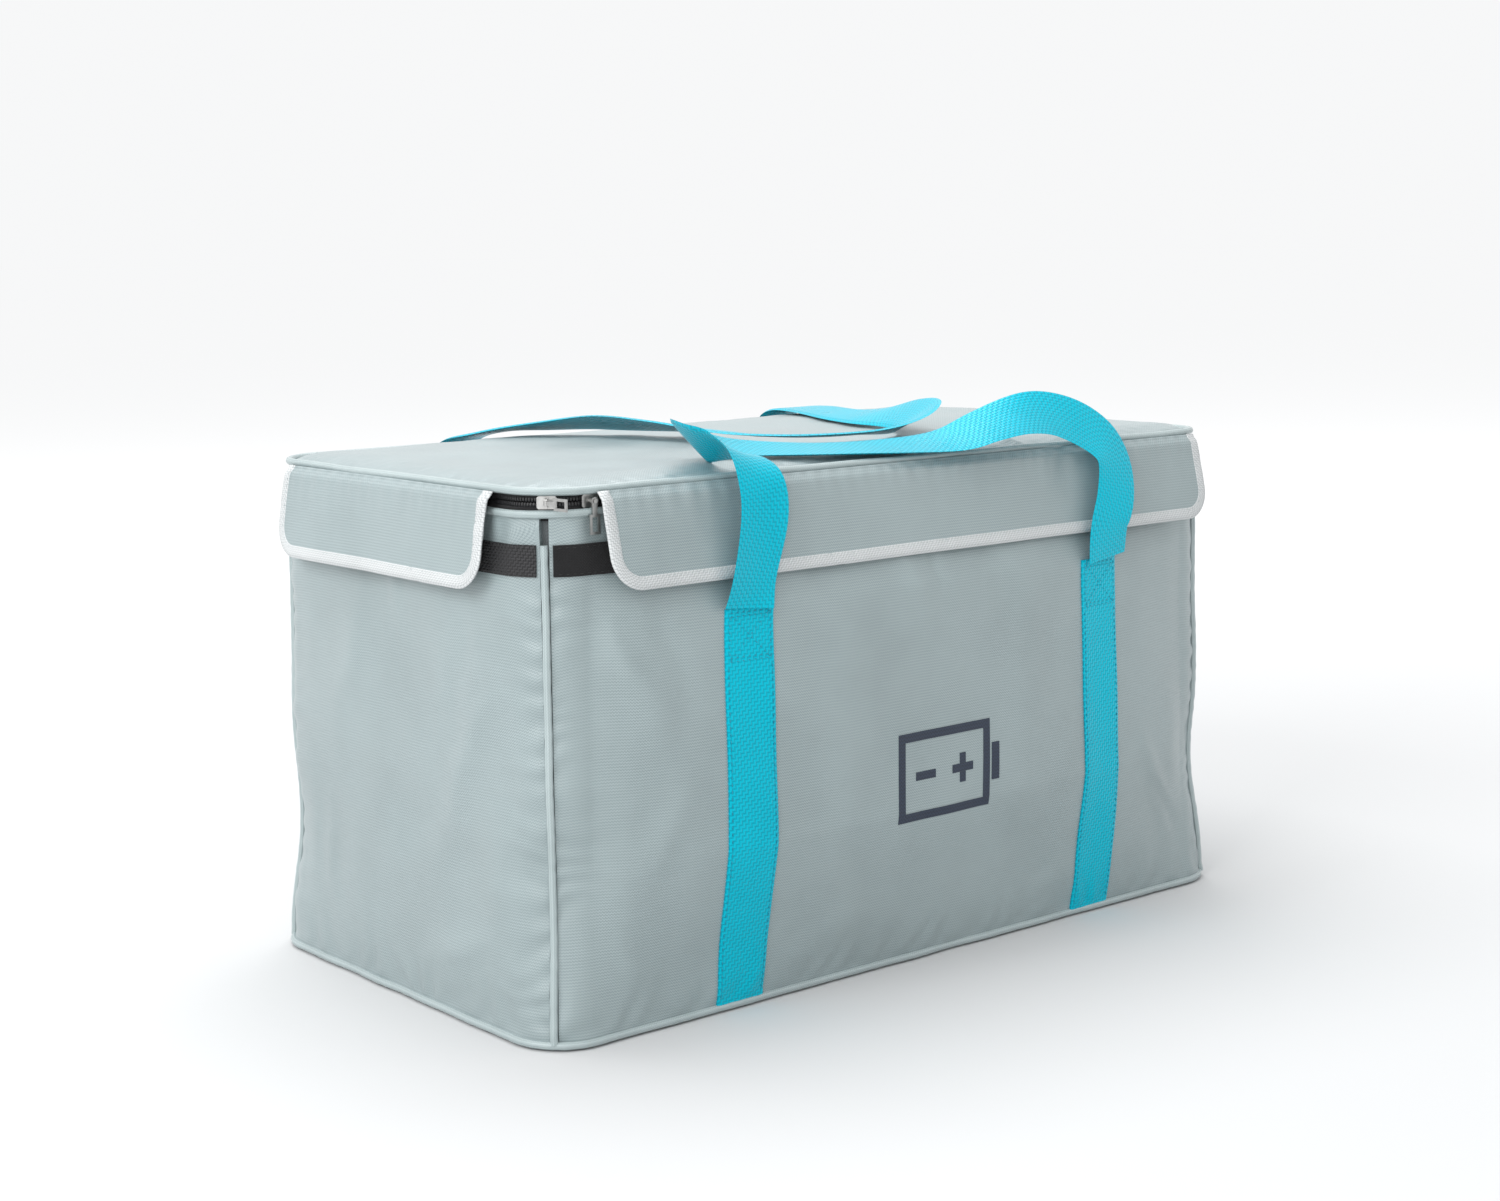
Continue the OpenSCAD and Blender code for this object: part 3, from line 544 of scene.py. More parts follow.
def wall(side, s, z, lift):
    """Point at s mm along a wall and height z, moved out by lift: a straight run, then round the corner."""
    out_x, out_y = SIDES[side]
    along = (-out_y, out_x)
    half = HALF[side]
    up = z / WALL_TOP
    lean = BASE_X - TOP_X
    run = half - lean * up
    turn = np.clip(np.abs(s) - half, 0, None) / CORNER
    share = np.clip(np.abs(s) / half, 0, 1)
    reach = CORNER + lift + relief(side, s, z)
    u = run * np.clip(s / half, -1, 1) + np.sign(s) * reach * np.sin(turn)
    depth = (BASE_Y if out_y else BASE_X) - lean * up - CORNER
    v = depth + reach * np.cos(turn) + bow(side, share, z)
    return np.stack([u * along[0] + v * out_x, u * along[1] + v * out_y, z + 0 * u], -1)


def levels(low, high, step):
    """Even steps from low to high, each a little under step."""
    return np.linspace(low, high, int((high - low) / step) + 2)


def wall_patch(name, side, s0, s1, z0, z1, lift, sink, step, material, nodes):
    """A closed piece of cloth on a wall, from s0 to s1 and z0 to z1, between two lifts."""
    s, z = np.meshgrid(levels(s0, s1, step), levels(z0, z1, step))
    return skin(name, wall(side, s, z, lift), wall(side, s, z, sink), material, "bag", nodes)


# %% Walls
TRIM = (CORD_R + 0.3) / CORNER  # the wall stops short of the corner's middle, where the piping lies
WALL_STEP, LINING_STEP, QUILT = 2.6, 6, 62


def quilted(a, b, height, pitch):
    """Soft square swells, as quilting leaves between its seams."""
    return height * np.abs(np.sin(a * math.pi / pitch)) * np.abs(np.sin(b * math.pi / pitch))


for side in SIDES:
    end = HALF[side] + CORNER * (math.pi / 4 - TRIM)
    piece = wall_patch(f"{side}_wall", side, -end, end, WALL_LOW - 1.5, WALL_TOP, 0, -FELT, WALL_STEP,
                       coated, [f"{side}_panel", f"{side}_pad"])
    full = HALF[side] + CORNER * math.pi / 4
    s, z = np.meshgrid(levels(-full, full, LINING_STEP), levels(WALL_LOW, WALL_TOP, LINING_STEP))
    inner = wall(side, s, z, -FELT - 1 - quilted(s, z, 0.8, QUILT))
    skin(f"{side}_lining", wall(side, s, z, -FELT), inner, lining, "bag", [f"{side}_liner"])
    print(side, "wall", len(piece.data.vertices), "points")

# %% [markdown]
# ## Base, lining and rim
# The base is a stiff board under cloth. Its outer skin touches the floor, so it stays flat.

# %% Rounded rectangles
def rounded_grid(half_x, half_y, radius, columns, rows):
    """u and v from -1 to 1 fill a rounded rectangle: each row is as wide as the outline is there."""
    v = np.sin(np.linspace(-1, 1, rows) * math.pi / 2)
    v = 0.6 * v + 0.4 * np.linspace(-1, 1, rows)
    u = np.sin(np.linspace(-1, 1, columns) * math.pi / 2)
    u = 0.5 * u + 0.5 * np.linspace(-1, 1, columns)
    u, v = np.meshgrid(u, v)
    y = v * half_y
    past = np.clip(np.abs(y) - (half_y - radius), 0, radius)
    x = u * (half_x - radius + np.sqrt(np.maximum(radius ** 2 - past ** 2, 0)))
    return x, y


def edge_distance(x, y, half_x, half_y, radius):
    """Distance inwards from the outline of a rounded rectangle."""
    qx = np.abs(x) - (half_x - radius)
    qy = np.abs(y) - (half_y - radius)
    outside = np.hypot(np.maximum(qx, 0), np.maximum(qy, 0)) + np.minimum(np.maximum(qx, qy), 0)
    return np.maximum(radius - outside, 0)


def flat_piece(name, half_x, half_y, radius, z_low, z_high, material, body, nodes,
               columns=80, rows=50):
    """A rounded rectangle between two heights, each a function of x and y."""
    x, y = rounded_grid(half_x, half_y, radius, columns, rows)
    top = np.stack([x, y, z_high(x, y)], -1)
    under = np.stack([x, y, z_low(x, y)], -1)
    return skin(name, top, under, material, body, nodes)


inset = CORD_R + 0.3
flat_piece("base_cover", BASE_X - inset, BASE_Y - inset, CORNER - inset,
           lambda x, y: 0 * x, lambda x, y: 0 * x + 5.0,
           coated, "bag", ["base_panel", "base_board"])
in_wall = FELT + 1.3
flat_piece("base_lining", BASE_X - in_wall, BASE_Y - in_wall, CORNER - in_wall,
           lambda x, y: 0 * x + 5.2, lambda x, y: 6.4 + quilted(x, y, 0.7, 70),
           lining, "bag", ["base_liner"], 120, 70)
print("base done")

# %% [markdown]
# ## Piping
# Piping is a cord wrapped in cloth and caught in a seam. A circle carried along the seam's line
# makes it. Small waves keep it from looking like wire, and tiny puckers show where the cloth
# gathers round the bends.

# %% Tube along a path
def tube(name, path, radius, side_way, closed, material, body, nodes, sides=14, pucker=0.12):
    """A ring of `sides` points carried along the path. side_way is a rough sideways direction for it."""
    ahead = unit(np.roll(path, -1, 0) - np.roll(path, 1, 0) if closed else np.gradient(path, axis=0))
    across = unit(np.cross(ahead, side_way))
    third = np.cross(ahead, across)
    n = len(path)
    turn = np.linspace(0, 2 * math.pi, sides, endpoint=False)
    run = run_along(path)
    size = radius * (1 + pucker * ripple(run, 0 * run, 5, 9)[:, None] * (0.6 + 0.4 * np.cos(turn * 2)[None]))
    ring = across[:, None] * np.cos(turn)[None, :, None] + third[:, None] * np.sin(turn)[None, :, None]
    points = (path[:, None] + size[..., None] * ring).reshape(-1, 3)
    index = np.arange(n * sides).reshape(n, sides)
    a, b = index, np.roll(index, -1, 1)
    if closed:
        c, d = np.roll(b, -1, 0), np.roll(a, -1, 0)
    else:
        a, b, c, d = a[:-1], b[:-1], b[1:], a[1:]
    faces = np.stack([a, b, c, d], 2).reshape(-1, 4).tolist()
    if not closed:
        faces += [index[0, ::-1].tolist(), index[-1].tolist()]
    uv = np.stack([np.repeat(run, sides), np.tile(turn * radius, n)], 1) * MM
    return put_mesh(name, points, faces, uv, material, body, nodes, sharp=60)


def outline_path(half_x, half_y, radius, step, z, skip_back=False):
    """Points round a rounded rectangle, from the back right corner by way of the back wall.

    With skip_back the line starts at the back left corner and ends at the back right one.
    """
    points = []
    for sx, sy, start in ((1, 1, 0), (-1, 1, 90), (-1, -1, 180), (1, -1, 270)):
        turn = np.radians(start + np.linspace(0, 90, 16))
        corner_x = sx * (half_x - radius) + radius * np.cos(turn)
        corner_y = sy * (half_y - radius) + radius * np.sin(turn)
        points.append(np.stack([corner_x, corner_y], 1))
    if skip_back:
        order = [points[1], points[2], points[3], points[0]]
    else:
        order = points + [points[0][:1]]
    line = np.concatenate(order)
    run = run_along(line)
    where = np.linspace(0, run[-1], int(run[-1] / step))
    if not skip_back:
        where = where[:-1]
    x, y = np.interp(where, run, line[:, 0]), np.interp(where, run, line[:, 1])
    return np.stack([x, y, np.full_like(x, z)], 1)


def wave(path, sideways, upwards, seed):
    """Shifts a horizontal path by gentle waves, out by sideways and up by upwards millimetres."""
    run = run_along(path)
    length = run[-1]
    out = unit(path * (1, 1, 0))
    fade = smooth_step(run / 60) * smooth_step((length - run) / 60)
    swing = fade * ripple(run, 0 * run, seed, 70)
    lift = fade * ripple(run, 0 * run, seed + 1, 90)
    return path + out * (sideways * swing)[:, None] + np.array([0, 0, 1]) * (upwards * lift)[:, None]


up_way = np.array([0.0, 0.0, 1.0])
base_ring = outline_path(BASE_X, BASE_Y, CORNER, 3, 1 + CORD_R)
base_ring = wave(base_ring, 1.2, 0.0, 7)
tube("base_cord", base_ring, CORD_R, up_way, True, piping_cloth, "bag", ["base_piping"])
rim_ring = wave(outline_path(TOP_X, TOP_Y, CORNER, 2.5, RIM_Z, True), 0.7, 0.5, 17)
tube("rim_cord", rim_ring, CORD_R, up_way, False, piping_cloth, "bag", ["rim_piping"])
lid_ring = wave(outline_path(TOP_X, TOP_Y, CORNER, 2.5, BAG_H, True), 0.6, 0.5, 27)
tube("lid_cord", lid_ring, CORD_R, up_way, False, piping_cloth, "lid", ["lid_piping"])
HINGE_X = TOP_X - CORNER - 0.5
hinge_x = np.linspace(-HINGE_X, HINGE_X, 200)
hinge_line = np.stack([hinge_x, 0 * hinge_x + TOP_Y, 0 * hinge_x + BAG_H], 1)
tube("hinge_cord", hinge_line, CORD_R, up_way, False, piping_cloth, "bag", ["hinge_seam"])
CORNER_CORDS = {"front": "front_left", "right": "front_right", "back": "back_right", "left": "back_left"}
for side, corner in CORNER_CORDS.items():
    height = np.linspace(WALL_LOW - 2, BAND_TOP, 170)
    at_end = -(HALF[side] + CORNER * math.pi / 4)
    line = wall(side, at_end + 0 * height, height, CORD_R - 1.4)
    line[:, 0] += 0.25 * ripple(height, 0 * height, 41, 60)
    tube(f"{corner}_cord", line, CORD_R - 0.1, np.array([1.0, 0.2, 0.0]), False, piping_cloth, "bag",
         [f"{corner}_piping"])
x = np.linspace(-HINGE_X, HINGE_X, 120)
hx, hz = np.meshgrid(x[::-1], np.linspace(WALL_TOP, BAG_H - 2, 8))
bulge = 0.7 * np.sin((hz - WALL_TOP) / (BAG_H - 2 - WALL_TOP) * math.pi) + 0.3 * ripple(hx, hz, 9, 14)
skin("hinge_cloth", np.stack([hx, TOP_Y + bulge, hz], -1), np.stack([hx, 0 * hx + TOP_Y - 1.2, hz], -1),
     coated, "bag", ["hinge_strip"])
print("piping done")

# %% [markdown]
# ## Bands and straps
# A strip of loop tape runs round the body below the rim, with coarser hook tape on the left
# end, and the webbing straps run down the long walls. Both are sewn flat on the cloth, so they
# reuse the wall function with a little lift.

# %% Hook-and-loop bands
BAND_TAPES = {"front": (loops, "loop_tape"), "left": (hooks, "hook_tape"), "right": (loops, "loop_tape")}
for side, (cloth, name) in BAND_TAPES.items():
    end = HALF[side] + CORNER * (math.pi / 4 - TRIM) - 2.3
    wall_patch(f"{side}_tape", side, -end, end, BAND_LOW, BAND_TOP, 1.3, -0.6, 2.6,
               cloth, [f"{side}_band"])


# %% Sewn straps
WEB_T = 1.6


def web_lift(w):
    """Height of webbing over its middle plane: flat, and thinner in the last tenth at each edge."""
    return WEB_T * (1 - 0.35 * np.abs(w) ** 10)


straps = []
for side in ("front", "back"):
    for middle in (-STRAP_MID, STRAP_MID):
        on_left = (middle < 0) == (side == "front")
        node = f"{side}_{'left' if on_left else 'right'}_strap"
        w, z = np.meshgrid(np.linspace(-1, 1, 21), levels(WALL_LOW - 1, STRAP_TOP, 2.5))
        s = middle + w * STRAP_W / 2
        skin(f"{node}_webbing", wall(side, s, z, web_lift(w)), wall(side, s, z, -0.6), turquoise, "bag",
             [node], uv=np.stack([s - middle, z], 2) * MM)
        straps.append((side, middle))
print("straps", len(straps))

# %% [markdown]
# ## A printed mark
# The long wall carries a plain printed battery outline, so that anyone can tell what is inside.
# Ink is a very thin skin that follows every dent of the cloth below it.

# %% Printed battery outline
ink = woven("dark ink", (0.006, 0.012, 0.026), (0.016, 0.028, 0.055), 0.5, 560, 0.25, turn=45)


def printed(name, s0, s1, z0, z1):
    """A rectangle of ink on the front wall."""
    wall_patch(name, "front", s0, s1, z0, z1, 0.35, -0.25, 2.2, ink, [])


PRINT_S, PRINT_Z = 6.0, 132.0  # the print's middle, along the wall and up it
BARS = {
    "ink_left": (-46, -40, -30, 30),
    "ink_right": (34, 40, -30, 30),
    "ink_top": (-40, 34, 24, 30),
    "ink_bottom": (-40, 34, -30, -24),
    "ink_nub": (42, 49, -13, 13),
    "ink_minus": (-30, -12, -2.8, 2.8),
    "ink_plus_flat": (4, 24, -2.8, 2.8),
    "ink_plus_top": (11.2, 16.8, 3, 10),
    "ink_plus_low": (11.2, 16.8, -10, -3),
}
for name, (s0, s1, z0, z1) in BARS.items():
    printed(name, PRINT_S + s0, PRINT_S + s1, PRINT_Z + z0, PRINT_Z + z1)
print("bars of ink", len(BARS))

# %% [markdown]
# ## Stitches
# A stitch is a short piece of thread that dives into the cloth at both ends. Each one is a
# small bent spindle, and numpy copies it to every place along a seam at once.

# %% Stitch maker
def stitches(name, lines, material, body, length=3.0, gap=1.5, radius=0.34, nodes=()):
    """lines are (points, outward direction) pairs; spindles are spread evenly along them."""
    blocks = []
    turn = np.arange(6)[None, :, None] * math.pi / 3
    for line, out in lines:
        run = run_along(line)
        middle = np.arange(length / 2, run[-1] - length / 2, length + gap)
        at = [read_at(middle + d, run, line) for d in (-length / 2, 0, length / 2)]
        up = unit(read_at(middle, run, np.broadcast_to(out, line.shape)))
        side_way = unit(np.cross(at[2] - at[0], up))
        rings = []
        for place, lift, size in zip(at, (-0.45, 0.28, -0.45), (0.5, 1.0, 0.5)):
            centre = place + up * lift
            circle = side_way[:, None] * np.cos(turn) + up[:, None] * np.sin(turn)
            rings.append(centre[:, None] + radius * size * circle)
        blocks.append(np.stack(rings, 1))
    block = np.concatenate(blocks)
    count = len(block)
    points = block.reshape(-1, 3)
    one = np.arange(18).reshape(3, 6)
    quads = np.stack([one[:-1], np.roll(one, -1, 1)[:-1], np.roll(one, -1, 1)[1:], one[1:]], 2).reshape(-1, 4)
    steps = 18 * np.arange(count)[:, None, None]
    every = (quads[None, :, ::-1] + steps).reshape(-1, 4).tolist()
    caps = np.concatenate([one[:1], one[2:, ::-1]])
    every += (caps[None] + steps).reshape(-1, 6).tolist()
    print(name, count, "stitches")
    return put_mesh(name, points, every, None, material, body, nodes, sharp=80)


def on_wall(side, corners, lift):
    """A line through (s, z) corners on a wall, sampled every millimetre."""
    corners = np.array(corners, float)
    run = run_along(corners)
    where = np.arange(0, run[-1], 1.0)
    s, z = np.interp(where, run, corners[:, 0]), np.interp(where, run, corners[:, 1])
    return wall(side, s, z, lift), np.array([*SIDES[side], 0.0])


# %% Stitch lines on the straps and bands
seams = []
for side, middle in straps:
    low, high, half = STRAP_TOP - 33, STRAP_TOP - 2.5, STRAP_W / 2 - 3
    a, b = middle - half, middle + half
    box = [(a, low), (b, low), (b, high), (a, high), (a, low)]
    cross = [(a, low), (b, high)], [(b, low), (a, high)]
    second = [(a, low + 2.4), (b, low + 2.4)], [(a, high - 2.4), (b, high - 2.4)]
    edges = [(a - 1, WALL_LOW + 4), (a - 1, low)], [(b + 1, WALL_LOW + 4), (b + 1, low)]
    seams += [on_wall(side, corners, WEB_T) for corners in (box, *cross, *second, *edges)]
stitches("strap_stitches", seams, blue_thread, "bag")
seams = []
for side in ("front", "left", "right"):
    end = HALF[side] + CORNER * (math.pi / 4 - TRIM) - 5
    for z in (BAND_LOW + 1.6, BAND_TOP - 1.6):
        seams.append(on_wall(side, [(-end, z), (end, z)], 1.3))
stitches("band_stitches", seams, black_thread, "bag", radius=0.28)

# %% [markdown]
# ## The zip
# A coil zip is two cloth tapes with a row of plastic loops on the edge of each. The lower tape
# is sewn to the body and the upper one to the lid, so each row rides with its own tape.

# %% Zip tape and coil
CHAIN_Z = (BAG_H + RIM_Z) / 2
ZIP_IN = 3.5  # how far the zip lies inside the outline
chain = outline_path(TOP_X - ZIP_IN, TOP_Y - ZIP_IN, CORNER - ZIP_IN, 2.4, CHAIN_Z, True)
chain_out = unit(np.cross(np.gradient(chain, axis=0), up_way))


def tape(name, low, high, body, nodes):
    """Cloth tape along the chain, from low to high."""
    z = np.linspace(low, high, 6)
    grid = np.stack([chain + (0, 0, level - CHAIN_Z) for level in z])
    out = np.broadcast_to(chain_out, grid.shape)
    skin(name, grid + 0.4 * out, grid - 0.4 * out, zip_cloth, body, nodes)


def coil(name, low, high, shift, body, nodes):
    """One eight-sided loop every 1.9 mm along the chain, from low to high."""
    run = run_along(chain)
    where = np.arange(1 + shift, run[-1] - 1, 1.9)
    centre = read_at(where, run, chain)
    out = unit(read_at(where, run, chain_out))
    ahead = np.cross(up_way, out)
    turn = np.radians(22.5 + 45 * np.arange(8))
    half, tall = 1.15, (high - low) / 2
    sideways = out[:, None] * (half * 1.08 * np.cos(turn))[None, :, None]
    upwards = up_way * (tall * 1.08 * np.sin(turn))[None, :, None]
    ring = sideways + upwards + centre[:, None] + up_way * ((low + high) / 2 - CHAIN_Z)
    block = np.stack([ring - 0.62 * ahead[:, None], ring + 0.62 * ahead[:, None]], 1)
    one = np.arange(16).reshape(2, 8)
    quads = np.stack([one[0], one[1], np.roll(one[1], -1), np.roll(one[0], -1)], 1)
    steps = 16 * np.arange(len(centre))[:, None, None]
    caps = np.stack([one[0], one[1, ::-1]])
    faces = (quads[None, :, ::-1] + steps).reshape(-1, 4).tolist()
    faces += (caps[None, :, ::-1] + steps).reshape(-1, 8).tolist()
    put_mesh(name, block.reshape(-1, 3), faces, None, coil_plastic, body, nodes, sharp=50)
    print(name, len(centre), "loops")


tape("lower_tape", WALL_TOP - 2, CHAIN_Z - 1.5, "bag", ["lower_zip_tape"])
tape("upper_tape", CHAIN_Z + 1.5, BAG_H - 0.5, "lid", ["upper_zip_tape"])
coil("lower_coil", CHAIN_Z - 3.1, CHAIN_Z - 0.25, 0.0, "bag", ["lower_zip_teeth"])
coil("upper_coil", CHAIN_Z + 0.25, CHAIN_Z + 3.1, 0.95, "lid", ["upper_zip_teeth"])
METAL_NODES = ("corner_slider", "corner_slider_pull", "front_slider", "front_slider_pull")
for node in (*METAL_NODES, "zip_end_stops"):
    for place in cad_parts[node].material_slots:
        place.material = plated if node in METAL_NODES else coil_plastic

# %% [markdown]
# ## The lid
# The lid is a padded panel. It rises steeply behind its piping, stays almost flat, and carries
# a few soft hollows and one fold where a handle presses on it.

# %% Lid surface
LID_IN, PAD_IN = 2.8, 9  # how far the cloth and the padding's underside lie inside the seam


def lid_height(x, y):
    """Height over the seam: a quick rise from the edge, a puffed far corner, hollows and edge puckers."""
    d = edge_distance(x, y, TOP_X - LID_IN, TOP_Y - LID_IN, CORNER - LID_IN)
    rise = 6.3 * (1 - (1 - np.clip(d / 34, 0, 1)) ** 2.6)
    puff = 3.0 * smooth_step(d / 60) * smooth_step((x + 60) / 300) * smooth_step((y + 160) / 260)
    soft = smooth_step(d / 26) * (1.3 * ripple(x, y, 61, 130) + 0.5 * ripple(x, y, 62, 50))
    gather = 0.9 * np.exp(-d / 11) * smooth_step(d / 3) * ripple(x * 1.2, y * 1.2, 63, 12)
    fold = 3.0 * np.exp(-(((x - 96 + 0.8 * (y + 140)) / 9) ** 2) - ((y + 143) / 20) ** 2)
    dip = -3.2 * np.exp(-(((x - 132) / 17) ** 2) - ((y + 156) / 16) ** 2)
    return rise + puff + soft + gather + fold + dip


x, y = rounded_grid(TOP_X - LID_IN, TOP_Y - LID_IN, CORNER - LID_IN, 250, 150)
top = np.stack([x, y, BAG_H - 0.6 + lid_height(x, y)], -1)
x, y = rounded_grid(TOP_X - PAD_IN, TOP_Y - PAD_IN, CORNER - PAD_IN, 250, 150)
under = np.stack([x, y, 0 * x + BAG_H - 4.5], -1)
lid = skin("lid_cushion", top, under, coated, "lid", ["lid_panel", "lid_pad"],
           uv=np.stack([x, y], 2) * MM)
flat_piece("lid_lining", TOP_X - PAD_IN, TOP_Y - PAD_IN, CORNER - PAD_IN,
           lambda x, y: BAG_H - 5.5 - quilted(x, y, 0.8, QUILT), lambda x, y: 0 * x + BAG_H - 4.6,
           lining, "lid", ["lid_liner"], 120, 70)
print("lid top", round(float(top[..., 2].max()), 1), "mm")

# %% [markdown]
# ## The flaps
# Each flap is a lined sheet of the same cloth, bound with pale tape. It leaves the lid seam
# gathered, bends outwards over the piping and hangs down with a slight lean. Its hook tape rides
# with the flap, and the cloth, binding and stitches stay where they are built.

# %% Flap surface
EDGE_STEP = 2.4
FLAP_H, FLAP_R, BIND = 61.0, 22.0, 8.5  # height, radius of the lower corners, width of the binding
HEM = 2.5  # how far the cloth's edge lies inside the binding's
HANG_Z = BAG_H - 1.4
LEAN = math.radians(12)
# Hollows and swells: distance along the flap, distance down, width, height, depth.
CREASES = {
    "front": [(133, 8, 13, 24, -2.4), (-90, 40, 50, 22, 1.2), (40, 45, 60, 20, -1.0)],
    "left": [(-20, 30, 40, 25, -1.5)],
    "right": [(30, 30, 45, 25, -1.5)],
}


def flap(side, a, t, lift):
    """Point a mm along and t mm down a flap: out from under the piping, then leaning.

    The cloth is gathered at the top and waves a little below.
    """
    out_x, out_y = SIDES[side]
    along = (-out_y, out_x)
    seed = {"front": 71, "left": 81, "right": 91}[side]
    top = TOP_Y if out_y else TOP_X
    out = 6.2 + t * math.sin(LEAN) - 3.5 * (1 - smooth_step(t / 6))
    if side != "front":
        out = out - 2.5 * smooth_step(t / 60)
    down = t * math.cos(LEAN)
    wavy = smooth_step(t / 25) * (0.8 * ripple(a, t, seed, 110) + 0.35 * ripple(a, t * 0.6, seed + 1, 36))
    gathers = np.sin(2 * math.pi * a / 14 + 3 * ripple(a, 0 * a, seed + 2, 60))
    wavy = wavy + 0.9 * np.exp(-t / 9) * smooth_step(t / 2.5) * gathers
    for place, height, wide, tall, depth in CREASES[side]:
        wavy = wavy + depth * np.exp(-(((a - place) / wide) ** 2) - ((t - height) / tall) ** 2)
    v = top + out + np.clip(wavy, -2.6, 2.6) + lift * math.cos(LEAN)
    z = HANG_Z - down + lift * math.sin(LEAN)
    return np.stack([a * along[0] + v * out_x, a * along[1] + v * out_y, z], -1)


def sleeve(name, points, uv, material, body, nodes, sharp):
    """Rings of points carried along a path and closed at both ends."""
    n, sides = points.shape[:2]
    index = np.arange(n * sides).reshape(n, sides)
    b = np.roll(index, -1, 1)
    faces = np.stack([index[:-1], b[:-1], b[1:], index[1:]], 2).reshape(-1, 4).tolist()
    faces += [index[0, ::-1].tolist(), index[-1].tolist()]
    return put_mesh(name, points.reshape(-1, 3), faces, uv.reshape(-1, 2), material, body, nodes, sharp)


def flap_edge(a0, a1, inset):
    """Down one side, round the corner, along the bottom and up the other side.

    Each row holds one (along, down) pair for each inset from the flap's edge.
    """
    quarter = np.linspace(0, math.pi / 2, 14)[1:-1]
    sides = np.arange(0, FLAP_H - FLAP_R, EDGE_STEP)
    run = np.arange(a0 + FLAP_R, a1 - FLAP_R, EDGE_STEP)
    centre = np.concatenate([
        np.stack([0 * sides + a0 + FLAP_R, sides], 1),
        np.tile([[a0 + FLAP_R, FLAP_H - FLAP_R]], (len(quarter), 1)),
        np.stack([run, 0 * run + FLAP_H - FLAP_R], 1),
        np.tile([[a1 - FLAP_R, FLAP_H - FLAP_R]], (len(quarter), 1)),
        np.stack([0 * sides + a1 - FLAP_R, sides[::-1]], 1)])
    way = np.concatenate([
        np.tile([[-1.0, 0.0]], (len(sides), 1)),
        np.stack([-np.cos(quarter), np.sin(quarter)], 1),
        np.tile([[0.0, 1.0]], (len(run), 1)),
        np.stack([np.sin(quarter), np.cos(quarter)], 1),
        np.tile([[1.0, 0.0]], (len(sides), 1))])
    reach = FLAP_R - np.atleast_1d(inset)
    return centre[:, None] + way[:, None] * reach[None, :, None]


# %% Flap pieces
# The binding's section, as a turn from its inner edge round the hem: distance in, and half thickness.
BIND_IN = np.array([BIND, BIND - 0.3, BIND - 1.0, BIND * 0.75, BIND * 0.4, 1.2, 0, 1.2, BIND * 0.4,
                    BIND * 0.75, BIND - 1.0, BIND - 0.3])
BIND_T = np.array([0, 1.25, 1.5, 1.75, 1.8, 1.5, 0, -1.5, -1.8, -1.75, -1.5, -1.25])


def make_flap(side):
    """Cloth, binding, hook tape and stitches of one flap."""
    low, high = span(f"{side}_flap_binding", 0 if side == "front" else 1)
    a0, a1 = (-high, -low) if side == "left" else (low, high)
    t = np.linspace(0, 1, 34) * (FLAP_H - HEM)
    past = np.clip(t - (FLAP_H - FLAP_R), 0, None)
    round_in = FLAP_R - HEM - np.sqrt(np.maximum((FLAP_R - HEM) ** 2 - past ** 2, 0))
    pull_in = HEM + np.where(past > 0, round_in, 0)
    u = np.linspace(0, 1, int((a1 - a0) / 2.6))
    left, right = a0 + pull_in, a1 - pull_in
    a = left[:, None] + (right - left)[:, None] * u[None]
    tt = np.broadcast_to(t[:, None], a.shape)
    rows = slice(None, None, -1)
    sheet = skin(f"{side}_flap_cloth", flap(side, a, tt, 1.15)[rows], flap(side, a, tt, -1.15)[rows], coated,
                 None, [f"{side}_flap"], uv=(np.stack([a, -tt], 2) * MM)[rows])
    flat = flap_edge(a0, a1, BIND_IN)
    run = np.arange(len(flat)) * EDGE_STEP
    gather = 0.12 * ripple(run, 0 * run, 99, 11)[:, None]
    points = flap(side, flat[..., 0], flat[..., 1], BIND_T[None] * (1 + gather))
    uv = np.stack(np.broadcast_arrays(run[:, None], BIND_IN[None]), 2) * MM
    edge = sleeve(f"{side}_flap_edge", points, uv, binding, None,
                  [f"{side}_flap_binding"], 70)
    middle = HANG_Z - (BAND_LOW + BAND_TOP) / 2
    a, t = np.meshgrid(levels(a0 + 26, a1 - 26, 4), np.linspace(middle + 9, middle - 9, 6))
    hook = skin(f"{side}_flap_hooks", flap(side, a, t, -1.0), flap(side, a, t, -2.5), hooks,
                f"{side}_flap", [f"{side}_flap_fastener"])
    seam = flap_edge(a0, a1, 6.9)[:, 0]
    line = flap(side, seam[:, 0], seam[:, 1], 1.55)
    sewn = [(line, np.array([*SIDES[side], 0.2]))]
    sewing = stitches(f"{side}_flap_stitches", sewn, thread, None, radius=0.3)
    for piece in (sheet, edge, sewing):
        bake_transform(piece)
    print(side, "flap from", round(a0), "to", round(a1))


for side in ("front", "left", "right"):
    make_flap(side)

# %% [markdown]
# ## The handles
# Webbing can't bend within its own plane, so it twists and stands on edge to change direction.
# Each handle is a flat section carried along a smooth curve through chosen points, with a width
# direction given at each. The section is squared to the curve, so it never shears.

# %% Handle route
TAPER = 8  # how much the long walls lean in from the base to the rim
WALL_Y = (TOP_Y + TAPER * (1 - STRAP_TOP / WALL_TOP)
          + LONG_BOW * (1 - ((STRAP_MID - STRAP_W / 2) / HALF["front"]) ** 4))
ROOT_Y = WALL_Y + 1.5 * WEB_T + 0.8
LID_Z = BAG_H + 6
